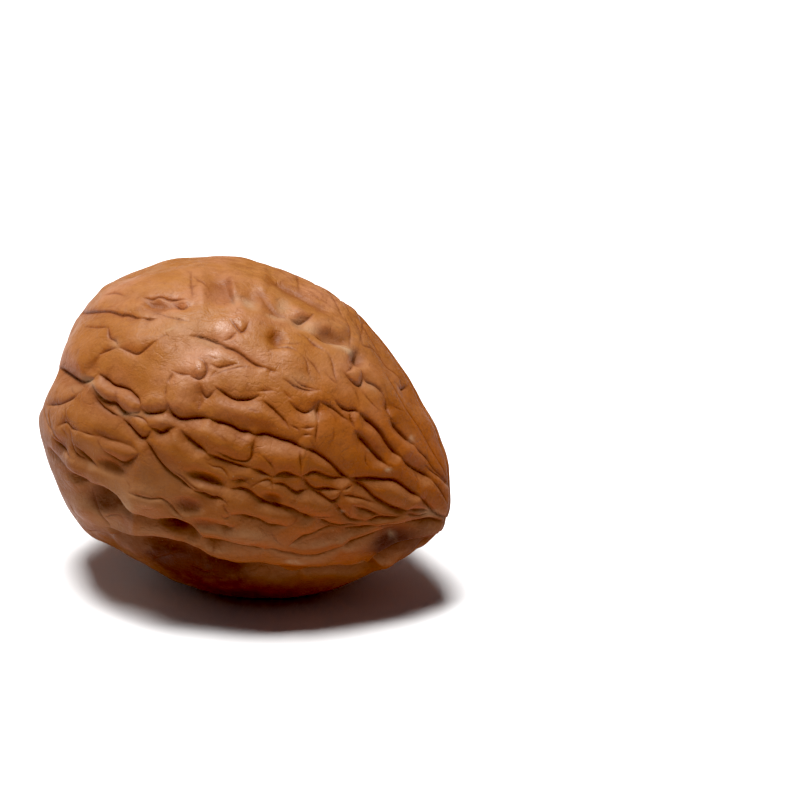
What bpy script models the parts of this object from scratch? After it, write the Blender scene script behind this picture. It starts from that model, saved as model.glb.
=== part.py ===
"""A whole walnut in its shell, lying on its side on a small flat spot.

The nut is one solid. Its long axis lies in the X-Z plane, the pointed tip towards +X and a little
down, and the origin is the middle of the flat spot that it rests on. The shell's two halves meet
in a seam that runs round through the tip and the base end. The front half, towards -Y, has its
furrows drawn by hand on a sketch plane. The hidden half grows its furrows by a seeded rule.
"""

import math

import bmesh
import bpy
import numpy as np
from mathutils import Vector, noise
from mathutils.bvhtree import BVHTree

# Driving sizes of the smooth body, in millimetres and degrees
HALF_LENGTH = 20.9
HALF_WIDTH = 15.9
HALF_THICKNESS = 15.8
TAPER = (-0.146, -0.019, -0.199)
PITCH = 15.2
ROLL = 24.0
FLAT_SPOT_CUT = 0.65
FLAT_SPOT_CLEAR = (5.5, 9.0)
UNDERSIDE_SPAN = (60.0, 120.0)
UNDERSIDE_STEPS = 6001
METRES = 0.001

# The sketch plane, through the middle of the nut and square to the way the eye looks.
# It has ten units to the millimetre, x to the right and y down.
SKETCH_AZIMUTH = 20.0
SKETCH_ELEVATION = 22.0
SKETCH_SCALE = 10.0
SKETCH_NUT = (251.4, 438.0)
SKETCH_EYE = (400.0, 400.0)
EYE_DISTANCE = 300.0

# Each style of furrow: depth, width of its bottom, width of its shoulders, all in millimetres,
# and its lean: 0 is even on both sides, 1 is steep above and open below.
STYLES = {
    "deep": (1.05, 0.30, 1.15, 0.3),
    "furrow": (0.80, 0.26, 0.95, 0.2),
    "crease": (0.55, 0.22, 0.75, 0.15),
    "crack": (0.30, 0.16, 0.52, 0.0),
    "fold": (0.50, 0.45, 1.35, 0.3),
    "shelf": (1.15, 0.28, 1.70, 0.9),
}
SHOULDER_SHARE = 0.62
SHOULDER_POWER = 1.05
SHOULDER_REACH = 3.0
BOTTOM_POWER = 1.3
JOIN_POWER = 4.0
END_FADE = 1.1
END_DEPTH = 0.3
PATH_STEP = 0.30

# Furrows of the front half, on the sketch, each from left to right.
FURROWS = (
    ("crease", (76, 317), (81, 314), (90, 311), (100, 311), (110, 312), (120, 315), (128, 315)),
    ("crease", (115, 314), (121, 316), (128, 315), (136, 318), (144, 319)),
    ("crease", (140, 318), (150, 319), (158, 317)),
    ("crack", (142, 297), (151, 298), (160, 296), (168, 298), (178, 298), (187, 299)),
    ("crack", (172, 301), (178, 305), (184, 307), (190, 304)),
    ("fold", (144, 300), (152, 305), (162, 308), (170, 306)),
    ("crack", (108, 326), (109, 337), (115, 341), (119, 347)),
    ("crack", (118, 347), (128, 351), (136, 354), (142, 352), (150, 346), (158, 340)),
    ("deep", (57, 367), (63, 371), (72, 377), (79, 380), (85, 379), (93, 378)),
    ("fold", (85, 378), (87, 371), (92, 363), (99, 355)),
    ("crease", (92, 378), (97, 373)),
    (
        "furrow",
        (97, 373), (104, 378), (111, 384), (119, 386), (127, 389), (133, 394), (138, 399), (141, 407),
    ),
    ("crack", (172, 371), (180, 374), (192, 375)),
    ("crack", (189, 375), (194, 378), (200, 379), (205, 376), (207, 370), (205, 363), (199, 358)),
    ("crack", (167, 383), (171, 378), (173, 372)),
    ("fold", (227, 276), (229, 290), (233, 298), (236, 305)),
    ("fold", (258, 288), (264, 297), (270, 305), (276, 311), (283, 314), (290, 314)),
    ("crack", (290, 315), (296, 318), (303, 319), (309, 317), (314, 313)),
    ("crack", (230, 319), (235, 326), (241, 332), (246, 329), (249, 322)),
    ("crease", (190, 335), (200, 335), (209, 338), (218, 342), (226, 345)),
    ("crease", (216, 341), (226, 346), (234, 349), (242, 354), (250, 360), (259, 365), (268, 368)),
    ("crack", (222, 341), (231, 337), (238, 331)),
    ("crack", (210, 363), (218, 367), (228, 365), (240, 363)),
    ("crack", (211, 376), (217, 370)),
    ("crack", (287, 382), (298, 387), (308, 390), (320, 390)),
    ("fold", (270, 278), (284, 285), (298, 292), (310, 300), (320, 306), (332, 313)),
    ("crease", (344, 373), (350, 379), (357, 384), (362, 384), (364, 378), (361, 370)),
    ("crease", (362, 373), (368, 380), (376, 384), (383, 390), (388, 399)),
    ("crease", (388, 398), (390, 408), (393, 417)),
    ("furrow", (392, 415), (397, 424), (404, 432), (411, 440), (416, 445)),
    ("crack", (415, 444), (421, 451), (428, 459), (434, 470), (440, 478), (445, 486)),
    ("crack", (69, 383), (69, 390), (74, 394)),
    ("crack", (48, 405), (58, 404), (65, 401), (72, 397), (77, 392)),
    ("deep", (91, 385), (93, 391), (98, 397), (106, 401), (113, 402), (118, 408), (124, 412), (132, 412)),
    ("crease", (130, 412), (138, 412), (141, 407)),
    ("crack", (115, 391), (115, 397), (117, 404)),
    ("furrow", (90, 392), (93, 399), (99, 406), (106, 411), (113, 415), (119, 417)),
    ("crease", (118, 418), (121, 414), (125, 413)),
    ("furrow", (118, 417), (124, 422), (129, 427), (135, 433), (140, 438), (146, 436), (151, 430)),
    ("crack", (124, 415), (133, 416), (141, 418), (147, 423), (150, 429)),
    ("furrow", (140, 407), (145, 412), (153, 413), (160, 412), (166, 409), (168, 404)),
    ("crack", (143, 414), (150, 417), (158, 416)),
    ("deep", (150, 427), (156, 430), (161, 432), (168, 428), (176, 427)),
    ("deep", (180, 430), (188, 438), (195, 444), (202, 449), (207, 454)),
    ("deep", (168, 404), (171, 412), (177, 417), (184, 418), (192, 417), (203, 417), (211, 419)),
    ("deep", (208, 418), (217, 421), (226, 423), (233, 426), (240, 430), (248, 431), (256, 437)),
    (
        "deep",
        (250, 433), (258, 434), (266, 433), (275, 436), (284, 439), (292, 441), (299, 446), (306, 449),
    ),
    ("deep", (303, 448), (313, 450), (323, 456), (331, 462), (338, 468), (345, 475), (354, 481)),
    (
        "deep",
        (350, 478), (361, 479), (373, 478), (386, 479), (397, 480), (406, 486), (414, 492), (422, 498),
    ),
    ("furrow", (420, 496), (427, 502), (432, 508), (438, 514), (446, 516)),
    (
        "deep",
        (352, 480), (361, 484), (369, 490), (376, 497), (385, 503), (393, 507), (401, 510), (409, 511),
    ),
    ("furrow", (406, 511), (415, 510), (424, 510), (432, 511)),
    ("furrow", (103, 451), (110, 458), (118, 463), (125, 463), (132, 459), (139, 454)),
    ("fold", (88, 432), (98, 435), (108, 440), (118, 443), (130, 447), (138, 453)),
    ("furrow", (74, 446), (81, 455), (88, 462), (95, 468)),
    ("fold", (94, 462), (102, 463), (110, 467), (118, 472), (128, 478)),
    ("crack", (129, 463), (130, 468)),
    (
        "furrow",
        (143, 439), (149, 447), (155, 457), (162, 466), (170, 474), (178, 480), (186, 487), (194, 491),
    ),
    ("furrow", (192, 491), (202, 494), (211, 498), (219, 499), (226, 503)),
    ("crack", (168, 470), (176, 474), (184, 480), (190, 486), (197, 490), (205, 493)),
    ("crack", (130, 492), (141, 495), (152, 498), (161, 499), (168, 505), (174, 513), (184, 521)),
    ("fold", (182, 472), (193, 475), (204, 478), (214, 483), (223, 488), (232, 490)),
    ("deep", (230, 490), (240, 490), (249, 492), (256, 498), (264, 503), (272, 505)),
    ("deep", (266, 504), (275, 506), (284, 508), (293, 511), (300, 515), (308, 518), (317, 520)),
    ("furrow", (315, 519), (324, 523), (332, 527), (342, 528), (352, 527), (362, 527)),
    (
        "crease",
        (214, 451), (223, 455), (231, 459), (239, 461), (247, 461), (252, 456), (253, 447), (256, 437),
    ),
    ("furrow", (205, 453), (214, 457), (224, 461), (233, 464), (243, 467), (252, 468)),
    ("furrow", (250, 468), (258, 471), (266, 475), (274, 478)),
    ("crack", (205, 462), (212, 467), (221, 469), (226, 475), (229, 482)),
    ("crack", (226, 469), (228, 464), (233, 464)),
    ("deep", (273, 478), (280, 474), (287, 473), (293, 475), (301, 477)),
    ("furrow", (300, 477), (308, 474), (316, 472), (325, 475), (334, 478), (344, 479), (352, 480)),
    ("furrow", (300, 476), (306, 481), (311, 487), (318, 490), (326, 489), (334, 490), (342, 491)),
    ("crack", (300, 448), (300, 458), (301, 468), (300, 476)),
    ("crack", (253, 446), (252, 456), (252, 466)),
    ("furrow", (271, 485), (277, 484), (284, 485), (290, 489), (297, 493), (304, 491), (312, 490)),
    ("furrow", (310, 490), (318, 493), (325, 498), (333, 502), (339, 499), (342, 492)),
    ("crease", (256, 485), (262, 482), (270, 481), (272, 486), (273, 492)),
    ("crack", (231, 482), (240, 481), (248, 484), (252, 489)),
    ("crack", (298, 497), (295, 502), (290, 505)),
    ("furrow", (334, 502), (339, 508), (344, 514), (350, 520), (358, 522), (367, 522)),
    ("crack", (304, 516), (314, 518), (325, 519), (336, 518)),
    ("furrow", (365, 522), (373, 521), (380, 518), (388, 518), (397, 518), (404, 515)),
    ("crease", (402, 515), (410, 514), (418, 516), (427, 514), (434, 512)),
    ("crease", (341, 497), (349, 496), (357, 498), (365, 500), (373, 503), (381, 505)),
    ("crease", (342, 491), (349, 489), (354, 486), (357, 483)),
    ("furrow", (353, 505), (359, 509), (367, 511), (375, 514), (384, 517)),
    ("crack", (351, 507), (350, 514), (352, 521)),
    ("furrow", (232, 516), (241, 517), (250, 519), (259, 522), (268, 527), (278, 528), (288, 528)),
    ("crack", (297, 515), (297, 521), (293, 526), (288, 528)),
    ("crack", (223, 503), (225, 510), (230, 516)),
    ("furrow", (214, 526), (223, 529), (231, 530), (235, 527)),
    ("furrow", (290, 547), (298, 543), (305, 539), (314, 537), (323, 533), (332, 530), (342, 531)),
    ("furrow", (340, 531), (351, 531), (361, 530), (371, 528), (380, 527)),
    ("deep", (378, 527), (390, 527), (401, 526), (411, 523), (421, 521), (431, 519), (440, 519)),
    ("fold", (46, 447), (54, 459), (64, 468), (74, 477), (83, 483), (92, 488)),
    ("shelf", (84, 486), (93, 489), (103, 492), (112, 497), (119, 504), (126, 511), (135, 516)),
    (
        "shelf",
        (130, 514), (142, 519), (154, 523), (164, 523), (174, 523), (182, 526), (191, 532), (202, 540),
    ),
    ("furrow", (198, 538), (210, 544), (222, 544), (233, 546), (243, 548), (254, 550), (265, 551)),
    ("crease", (262, 551), (272, 552), (283, 555), (293, 557), (303, 560)),
    ("crease", (282, 553), (292, 556), (303, 558), (315, 558), (326, 555), (336, 551), (346, 546)),
    ("furrow", (342, 548), (354, 543), (366, 539), (377, 535), (388, 532), (401, 530)),
    (
        "shelf",
        (104, 530), (122, 538), (142, 541), (162, 543), (180, 546), (196, 551), (208, 559), (222, 566),
    ),
    ("shelf", (214, 563), (232, 568), (248, 568), (262, 568), (276, 574), (291, 577), (306, 574)),
    ("shelf", (300, 575), (316, 572), (332, 568), (348, 568), (362, 567), (376, 560)),
    ("shelf", (370, 562), (384, 552), (398, 546), (412, 541), (424, 536), (432, 531)),
    ("crack", (58, 426), (65, 422), (70, 428), (79, 431)),
    ("crack", (61, 496), (67, 504), (74, 514), (84, 522)),
    ("crease", (86, 529), (96, 534), (107, 538), (118, 540)),
    ("crease", (319, 402), (327, 404), (334, 408), (341, 413), (347, 418), (353, 421)),
    ("furrow", (336, 400), (343, 406), (350, 409), (357, 409), (364, 414)),
    ("deep", (361, 412), (370, 418), (378, 425), (385, 433), (390, 441), (397, 450), (404, 458)),
    ("furrow", (402, 456), (410, 463), (418, 468), (427, 473), (433, 480)),
    ("crack", (431, 478), (437, 487), (441, 496), (443, 505)),
    ("deep", (356, 430), (361, 434), (368, 441), (375, 449), (382, 457), (390, 466)),
    ("crack", (388, 465), (396, 467)),
    ("crease", (353, 408), (352, 415), (354, 422), (358, 431)),
    ("furrow", (320, 401), (319, 409), (318, 420)),
    ("crack", (310, 440), (314, 446), (319, 450)),
    ("crack", (418, 469), (419, 477), (421, 485)),
    ("crease", (200, 384), (202, 392), (206, 397), (211, 394), (215, 389)),
    ("furrow", (215, 387), (222, 391), (229, 396), (236, 399), (244, 399), (252, 398), (259, 395)),
    ("crack", (257, 391), (264, 390), (273, 390)),
    ("fold", (197, 382), (199, 393), (199, 403), (196, 412)),
    ("crease", (262, 400), (272, 407), (280, 415), (286, 422), (290, 431)),
    ("crease", (290, 402), (297, 408), (305, 412), (312, 410), (318, 405)),
    ("crack", (284, 392), (293, 400)),
    ("crack", (299, 428), (308, 428), (317, 427)),
    ("crack", (299, 438), (304, 435), (314, 435)),
    ("crack", (118, 348), (110, 349), (101, 352), (94, 359)),
    ("crease", (231, 291), (233, 296), (234, 302)),
    ("crease", (316, 333), (325, 338), (335, 342), (344, 346), (352, 350)),
    ("crack", (308, 338), (316, 345), (323, 350)),
    ("fold", (361, 345), (360, 355), (359, 365)),
    ("crease", (398, 385), (402, 389), (406, 387)),
    ("crack", (355, 363), (351, 369), (345, 373)),
    ("crack", (79, 431), (90, 435), (100, 437), (112, 440), (124, 443)),
    ("crease", (70, 440), (73, 452), (80, 459), (88, 463)),
    ("crack", (96, 437), (98, 444), (103, 451)),
    ("crack", (52, 437), (57, 445), (64, 452), (71, 458)),
    ("crack", (205, 397), (200, 404), (197, 411), (196, 416)),
    ("crease", (266, 367), (271, 370), (276, 371)),
    ("crack", (283, 379), (290, 383), (297, 388), (305, 391)),
    ("crack", (293, 378), (300, 384), (308, 387), (318, 390)),
    ("crack", (288, 424), (294, 427), (299, 430), (300, 437)),
    ("crack", (299, 437), (297, 443), (300, 449)),
    ("crack", (318, 420), (317, 430), (316, 440), (318, 448)),
    ("crack", (425, 463), (433, 472), (440, 480), (445, 488)),
    ("crack", (371, 449), (368, 455), (368, 463), (373, 470)),
    ("furrow", (66, 474), (74, 479), (82, 484), (89, 489)),
    ("crack", (85, 488), (88, 500), (95, 512), (103, 522), (110, 532)),
    ("crack", (101, 520), (110, 518), (118, 520), (124, 526)),
    ("crease", (152, 562), (162, 561), (172, 558), (182, 557)),
    ("crease", (188, 568), (195, 573), (204, 577), (212, 574)),
    ("crack", (203, 457), (208, 461), (213, 456)),
    ("furrow", (231, 481), (240, 481), (248, 480)),
    ("crease", (248, 490), (253, 486), (258, 483)),
    ("crack", (221, 516), (224, 519), (228, 518), (231, 515)),
    ("crack", (340, 529), (345, 526), (352, 527)),
    ("crack", (350, 527), (358, 530), (366, 529), (375, 526)),
    ("crack", (390, 533), (394, 538), (397, 543)),
    ("furrow", (354, 567), (362, 564), (371, 564)),
    ("crease", (336, 500), (340, 497), (343, 492)),
    ("crack", (145, 448), (150, 455), (153, 462)),
    ("crack", (262, 456), (270, 463), (276, 473)),
)

# Wrinkles round the notch in the base end, in degrees from the tip and round the long axis
END_FURROWS = (
    ("furrow", (165, 96), (169, 100), (173, 110), (176, 130), (176.5, 160)),
    ("crease", (167, 108), (171, 117), (173, 135), (172.5, 155), (170, 168)),
    ("crease", (168, 92), (172, 83), (175, 64), (175.5, 38), (173, 18)),
    ("crack", (162, 112), (166, 121), (168, 136), (167, 152)),
    ("crack", (163, 88), (167, 80), (170, 66), (170, 48)),
)

# Soft dents (minus) and lumps (plus) of the front half, on the sketch:
# place, half sizes, turn in degrees, and height in millimetres. They fade where the shell turns
# away from the eye.
SWELL_POWER = 1.3
SWELL_EDGE = 0.15
SWELLS = (
    ((250, 299), (11, 9), 60, -0.45),
    ((277, 338), (9, 8), 60, -0.55),
    ((283, 304), (9, 8), 30, -0.35),
    ((303, 322), (13, 6), 20, -0.45),
    ((334, 335), (17, 7), 15, -0.85),
    ((359, 360), (8, 9), 60, -0.60),
    ((290, 290), (16, 7), 25, -0.25),
    ((238, 325), (9, 8), 30, 0.28),
    ((221, 326), (11, 10), -40, 0.22),
    ((200, 369), (7, 9), 0, 0.26),
    ((205, 387), (7, 9), 0, 0.18),
    ((356, 373), (7, 10), 0, 0.25),
    ((78, 355), (15, 18), 0, 0.45),
    ((126, 400), (13, 9), 20, 0.45),
    ((104, 390), (11, 8), 30, 0.35),
    ((154, 402), (14, 8), 0, 0.25),
    ((138, 427), (10, 7), 30, 0.20),
    ((160, 421), (13, 6), 0, 0.25),
    ((183, 400), (14, 14), 0, 0.30),
    ((98, 503), (20, 9), 25, -0.95),
    ((108, 468), (14, 7), 20, -0.40),
    ((186, 507), (15, 8), 10, -0.62),
    ((204, 480), (18, 6), 15, -0.45),
    ((204, 526), (16, 6), 10, -0.45),
    ((272, 500), (10, 6), 10, -0.60),
    ((180, 530), (14, 6), 15, -0.50),
    ((238, 485), (9, 5), 0, -0.15),
    ((120, 450), (14, 8), 15, 0.25),
    ((175, 450), (22, 10), 35, 0.30),
    ((222, 440), (28, 10), 20, 0.30),
    ((278, 458), (20, 13), 10, 0.35),
    ((250, 413), (30, 9), 15, 0.35),
    ((322, 463), (20, 8), 35, 0.25),
    ((316, 505), (18, 9), 10, 0.30),
    ((280, 517), (18, 7), 5, 0.25),
    ((400, 492), (20, 8), 35, 0.35),
    ((375, 436), (16, 6), 45, 0.25),
    ((352, 445), (12, 18), 0, 0.20),
    ((405, 445), (20, 6), 45, 0.20),
    ((395, 536), (20, 8), -15, -0.55),
    ((58, 448), (8, 12), 20, -0.30),
    ((330, 540), (26, 6), -15, -0.25),
    ((200, 568), (50, 8), 8, -0.35),
    ((262, 282), (6, 18), 5, 0.20),
    ((300, 312), (7, 4), 30, 0.25),
    ((311, 323), (6, 4), 20, 0.25),
    ((343, 330), (8, 6), 40, 0.30),
    ((346, 351), (12, 4), 35, 0.20),
    ((296, 358), (20, 8), 40, 0.20),
    ((318, 396), (12, 8), 30, 0.15),
    ((217, 286), (11, 15), 0, -0.35),
    ((202, 288), (6, 22), 0, 0.20),
    ((232, 283), (4, 12), -20, 0.20),
    ((168, 303), (22, 5), 5, -0.30),
    ((186, 301), (6, 5), 20, 0.20),
    ((122, 298), (20, 6), -15, -0.25),
    ((165, 272), (20, 8), -10, -0.20),
    ((112, 312), (24, 6), 5, 0.20),
    ((150, 345), (22, 12), 20, 0.20),
    ((185, 345), (16, 7), 20, -0.15),
    ((106, 545), (10, 7), 30, -0.30),
    ((84, 505), (8, 12), -30, 0.30),
    ((128, 508), (12, 14), 30, 0.35),
    ((146, 497), (16, 8), 25, 0.30),
    ((118, 528), (14, 8), 30, -0.30),
    ((150, 545), (16, 7), 25, -0.35),
    ((185, 555), (14, 6), 15, -0.35),
    ((168, 534), (14, 5), 20, 0.30),
    ((100, 440), (16, 10), 30, 0.25),
    ((60, 420), (8, 16), 10, 0.20),
    ((72, 470), (8, 14), -20, 0.30),
    ((246, 540), (22, 7), 8, 0.30),
    ((215, 545), (16, 5), 15, -0.30),
    ((104, 499), (18, 5), 30, -0.40),
    ((170, 527), (14, 4), 12, -0.45),
    ((72, 478), (11, 4), 35, -0.40),
    ((165, 549), (22, 6), 12, -0.50),
    ((213, 564), (25, 6), 15, -0.50),
    ((158, 303), (16, 4), 12, -0.20),
    ((300, 572), (60, 4), 0, -0.40),
)

# Low swells and hollows of the outline: place on the sketch, reach and height in millimetres.
OUTLINE = (
    ((59, 374), 3.2, -1.70),
    ((50, 392), 2.2, -0.40),
    ((41, 413), 2.9, 0.95),
    ((68, 345), 3.0, 0.50),
    ((88, 305), 2.5, 0.35),
    ((98, 299), 0.8, -0.22),
    ((108, 288), 2.0, 0.35),
    ((120, 281), 0.8, 0.15),
    ((130, 274), 2.2, -0.40),
    ((152, 263), 3.0, 0.05),
    ((190, 257), 4.0, -0.35),
    ((250, 259), 4.0, 0.20),
    ((340, 297), 5.0, 0.35),
    ((385, 345), 3.0, -0.20),
    ((445, 448), 3.0, 0.40),
    ((449, 505), 2.5, -1.00),
    ((447, 528), 2.2, -1.10),
    ((420, 550), 2.5, 0.35),
    ((393, 564), 3.2, -0.80),
    ((196, 590), 1.8, -0.25),
    ((155, 570), 4.5, -0.40),
    ((118, 552), 3.0, -0.60),
    ((80, 525), 3.0, 0.30),
    ((55, 480), 3.0, -0.15),
)

# The seam that joins the halves, in millimetres
KEEL_HEIGHT = 0.55
KEEL_REACH = 2.4
SEAM_DEPTH = 0.30
SEAM_WIDTH = 0.28
SMOOTH_BAND = (2.6, 4.4)
TIP_NIB_HEIGHT = 0.5
TIP_NIB_REACH = 2.2

# The hidden half's furrows, in degrees from the tip and round the long axis. Long wavy lines run
# from tip to base end in broken runs. Short links join each to the next.
SEED = 11
GROWN_LINES = 12
GROWN_SPAN = (188.0, 352.0)
GROWN_START = (9, 26)
GROWN_END = (150, 170)
GROWN_STEP = 4.0
GROWN_WAVES = ((5.2, 95.0), (2.8, 41.0))
WAVE_SPREAD = (0.8, 1.25)
RUN_STEPS = (5, 13)
LEFT_OVER_STEPS = 3
BREAK_CHANCE = 0.35
RUN_STYLES = ("deep", "furrow", "furrow", "crease")
GROWN_LINKS = 6
LINK_MARGIN = (3, 5)
LINK_LEAN = (5, 14)
LINK_BOW = (3, 1.5)
LINK_STYLES = ("furrow", "crease", "crease", "crack")

# Short cracks between them, and the wrinkles that run into the base end. A hair crack is too thin
# for this solid.
GROWN_CRACKS = 46
CRACK_FROM_TIP = (25, 155)
CRACK_STEP = (3, 7)
CRACK_SWEEP = (-3, 3)
CRACK_STYLES = ("crack", "crack", "hair")
BASE_LINES = 9
BASE_SHIFT = (-0.25, 0.25)
BASE_SWEEP = (-14, 14)
BASE_FROM_TIP = (172, 163, 154, 145)
BASE_FROM_TIP_SHIFT = (-2, 2)
BASE_STYLES = ("furrow", "crease")
GROWN_PATH_STEP = 1.0
HIDDEN_FACING = 0.04
SHORTEST_RUN = 4

# Lumps all over: height in millimetres and size in millimetres
LUMPS = ((0.25, 7.5), (0.22, 3.4))

ICOSPHERE_LEVEL = 8
FACETS = 11400
SHELL_COLOUR = (0.47, 0.22, 0.085, 1.0)
SHELL_ROUGHNESS = 0.5


def body_points(sphere):
    """Turns points of a unit sphere into the smooth body, its long axis along x and tip at +x."""
    along = sphere[:, 0]
    radius = 1 + TAPER[0] * along + TAPER[1] * along**2 + TAPER[2] * along**3
    across = np.stack([HALF_THICKNESS * sphere[:, 1], HALF_WIDTH * sphere[:, 2]], 1)
    return np.column_stack([HALF_LENGTH * along, across * radius[:, None]])


def polar_points(places):
    """Points of the body from degrees from the tip and degrees round the axis, from the upper seam."""
    from_tip, around = np.radians(np.asarray(places, float)).T
    ring = np.sin(from_tip)
    sphere = np.column_stack([np.cos(from_tip), -ring * np.sin(around), ring * np.cos(around)])
    return body_points(sphere)


def lying_pose():
    """The turn from the body's own axes to the way it lies, and its lowest point."""
    roll, pitch = math.radians(ROLL), math.radians(PITCH)
    roll_turn = np.array(
        [[1, 0, 0], [0, math.cos(roll), math.sin(roll)], [0, -math.sin(roll), math.cos(roll)]]
    )
    pitch_turn = np.array(
        [[math.cos(pitch), 0, math.sin(pitch)], [0, 1, 0], [-math.sin(pitch), 0, math.cos(pitch)]]
    )
    turn = pitch_turn @ roll_turn
    around = np.degrees(math.atan2(HALF_THICKNESS * math.sin(roll), HALF_WIDTH * math.cos(roll)))
    from_tip = np.linspace(*UNDERSIDE_SPAN, UNDERSIDE_STEPS)
    underside = polar_points(np.column_stack([from_tip, np.full_like(from_tip, 180 + around)]))
    lying = underside @ turn.T
    return turn, lying[np.argmin(lying[:, 2])]


def sketch_frame():
    """The sketch's right, up and towards-the-eye directions, and the eye, from the body's middle."""
    azimuth, elevation = math.radians(SKETCH_AZIMUTH), math.radians(SKETCH_ELEVATION)
    back = np.array(
        [
            math.sin(azimuth) * math.cos(elevation),
            -math.cos(azimuth) * math.cos(elevation),
            math.sin(elevation),
        ]
    )
    right = np.array([math.cos(azimuth), math.sin(azimuth), 0.0])
    up = np.cross(back, right)
    aside = (SKETCH_EYE[0] - SKETCH_NUT[0]) / SKETCH_SCALE
    above = (SKETCH_NUT[1] - SKETCH_EYE[1]) / SKETCH_SCALE
    eye = back * EYE_DISTANCE + right * aside + up * above
    return right, up, back, eye


def on_sketch_plane(places):
    """Sketch places as points of the sketch plane, from the body's middle."""
    right, up, _, _ = sketch_frame()
    places = np.asarray(places, float)
    aside = (places[:, 0] - SKETCH_NUT[0]) / SKETCH_SCALE
    above = (SKETCH_NUT[1] - places[:, 1]) / SKETCH_SCALE
    return aside[:, None] * right + above[:, None] * up


def seen_on_sketch(points):
    """Where the eye sees points of the body, as sketch places."""
    right, up, back, eye = sketch_frame()
    reach = EYE_DISTANCE / ((eye - points) @ back)
    seen = eye + (points - eye) * reach[:, None]
    return np.column_stack(
        [SKETCH_NUT[0] + seen @ right * SKETCH_SCALE, SKETCH_NUT[1] - seen @ up * SKETCH_SCALE]
    )


def smooth_path(points, step):
    """A curve through the points, with a point about every step."""
    points = np.asarray(points, float)
    padded = np.vstack([2 * points[0] - points[1], points, 2 * points[-1] - points[-2]])
    curve = [points[:1]]
    for index in range(len(points) - 1):
        before, start, end, after = padded[index : index + 4]
        count = max(2, int(np.linalg.norm(end - start) / step) + 1)
        t = np.linspace(0, 1, count + 1)[1:, None]
        curve.append(
            0.5
            * (
                2 * start
                + (end - before) * t
                + (2 * before - 5 * start + 4 * end - after) * t**2
                + (3 * start - before - 3 * end + after) * t**3
            )
        )
    return np.vstack(curve)


def drawn_paths(tree, turn):
    """The front half's furrows and the notch's wrinkles on the body, as (style, points)."""
    _, _, _, eye = sketch_frame()
    paths = []
    for style, *places in FURROWS:
        plane = on_sketch_plane(smooth_path(places, PATH_STEP * SKETCH_SCALE))
        found = []
        for target in plane:
            hit = tree.ray_cast(Vector(eye), Vector(target - eye).normalized())[0]
            if hit is None:
                hit = tree.find_nearest(Vector(target))[0]
            found.append(hit)
        paths.append((style, np.array(found) @ turn))
    for style, *places in END_FURROWS:
        paths.append((style, polar_points(smooth_path(places, GROWN_PATH_STEP))))
    return paths


def grown_line(draw, start, first, last):
    """One wavy furrow from near the tip to near the base end, in degrees."""
    from_tip = np.arange(first, last, GROWN_STEP)
    around = np.full_like(from_tip, start)
    for height, length in GROWN_WAVES:
        wave = 2 * math.pi * (from_tip / (length * draw.uniform(*WAVE_SPREAD)) + draw.random())
        around += height * np.sin(wave)
    return np.column_stack([from_tip, around])


def grown_runs(draw, lines):
    """The long lines, broken into runs of one style each."""
    runs = []
    for line in lines:
        cut = 0
        while cut < len(line) - LEFT_OVER_STEPS:
            length = int(draw.integers(*RUN_STEPS))
            style = draw.choice(RUN_STYLES)
            runs.append((style, line[cut : cut + length + 1]))
            cut += length + int(draw.random() < BREAK_CHANCE)
    return runs


def grown_links(draw, lines):
    """The short furrows that join each long line to the next."""
    links = []
    for upper, lower in zip(lines, lines[1:]):
        for _ in range(GROWN_LINKS):
            start = upper[draw.integers(LINK_MARGIN[0], len(upper) - LINK_MARGIN[1])]
            lean = draw.uniform(*LINK_LEAN) * draw.choice([-1, 1])
            end = lower[np.argmin(abs(lower[:, 0] - start[0] - lean))]
            bow = np.array([draw.uniform(-side, side) for side in LINK_BOW])
            style = draw.choice(LINK_STYLES)
            links.append((style, np.array([start, (start + end) / 2 + bow, end])))
    return links


def grown_cracks(draw):
    cracks = []
    for _ in range(GROWN_CRACKS):
        start = np.array([draw.uniform(*CRACK_FROM_TIP), draw.uniform(*GROWN_SPAN)])
        middle = start + (draw.uniform(*CRACK_STEP), draw.uniform(*CRACK_SWEEP))
        end = middle + (draw.uniform(*CRACK_STEP), draw.uniform(*CRACK_SWEEP))
        cracks.append((draw.choice(CRACK_STYLES), np.array([start, middle, end])))
    return cracks


def base_wrinkles(draw):
    wrinkles = []
    for index in range(BASE_LINES):
        start = 360 * (index + draw.uniform(*BASE_SHIFT)) / BASE_LINES
        sweep = start + draw.uniform(*BASE_SWEEP, len(BASE_FROM_TIP)).cumsum()
        from_tip = np.array(BASE_FROM_TIP) + draw.uniform(*BASE_FROM_TIP_SHIFT)
        wrinkles.append((draw.choice(BASE_STYLES), np.column_stack([from_tip, sweep])))
    return wrinkles


def grown_places():
    """The furrows that grow by rule, as (style, degrees from the tip and round the axis)."""
    draw = np.random.default_rng(SEED)
    gap = (GROWN_SPAN[1] - GROWN_SPAN[0]) / GROWN_LINES
    lines = []
    for index in range(GROWN_LINES):
        start = GROWN_SPAN[0] + gap * (index + 0.5)
        first = draw.uniform(*GROWN_START)
        lines.append(grown_line(draw, start, first, draw.uniform(*GROWN_END)))
    places = grown_runs(draw, lines)
    places += grown_links(draw, lines)
    places += grown_cracks(draw)
    return places + base_wrinkles(draw)


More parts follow.
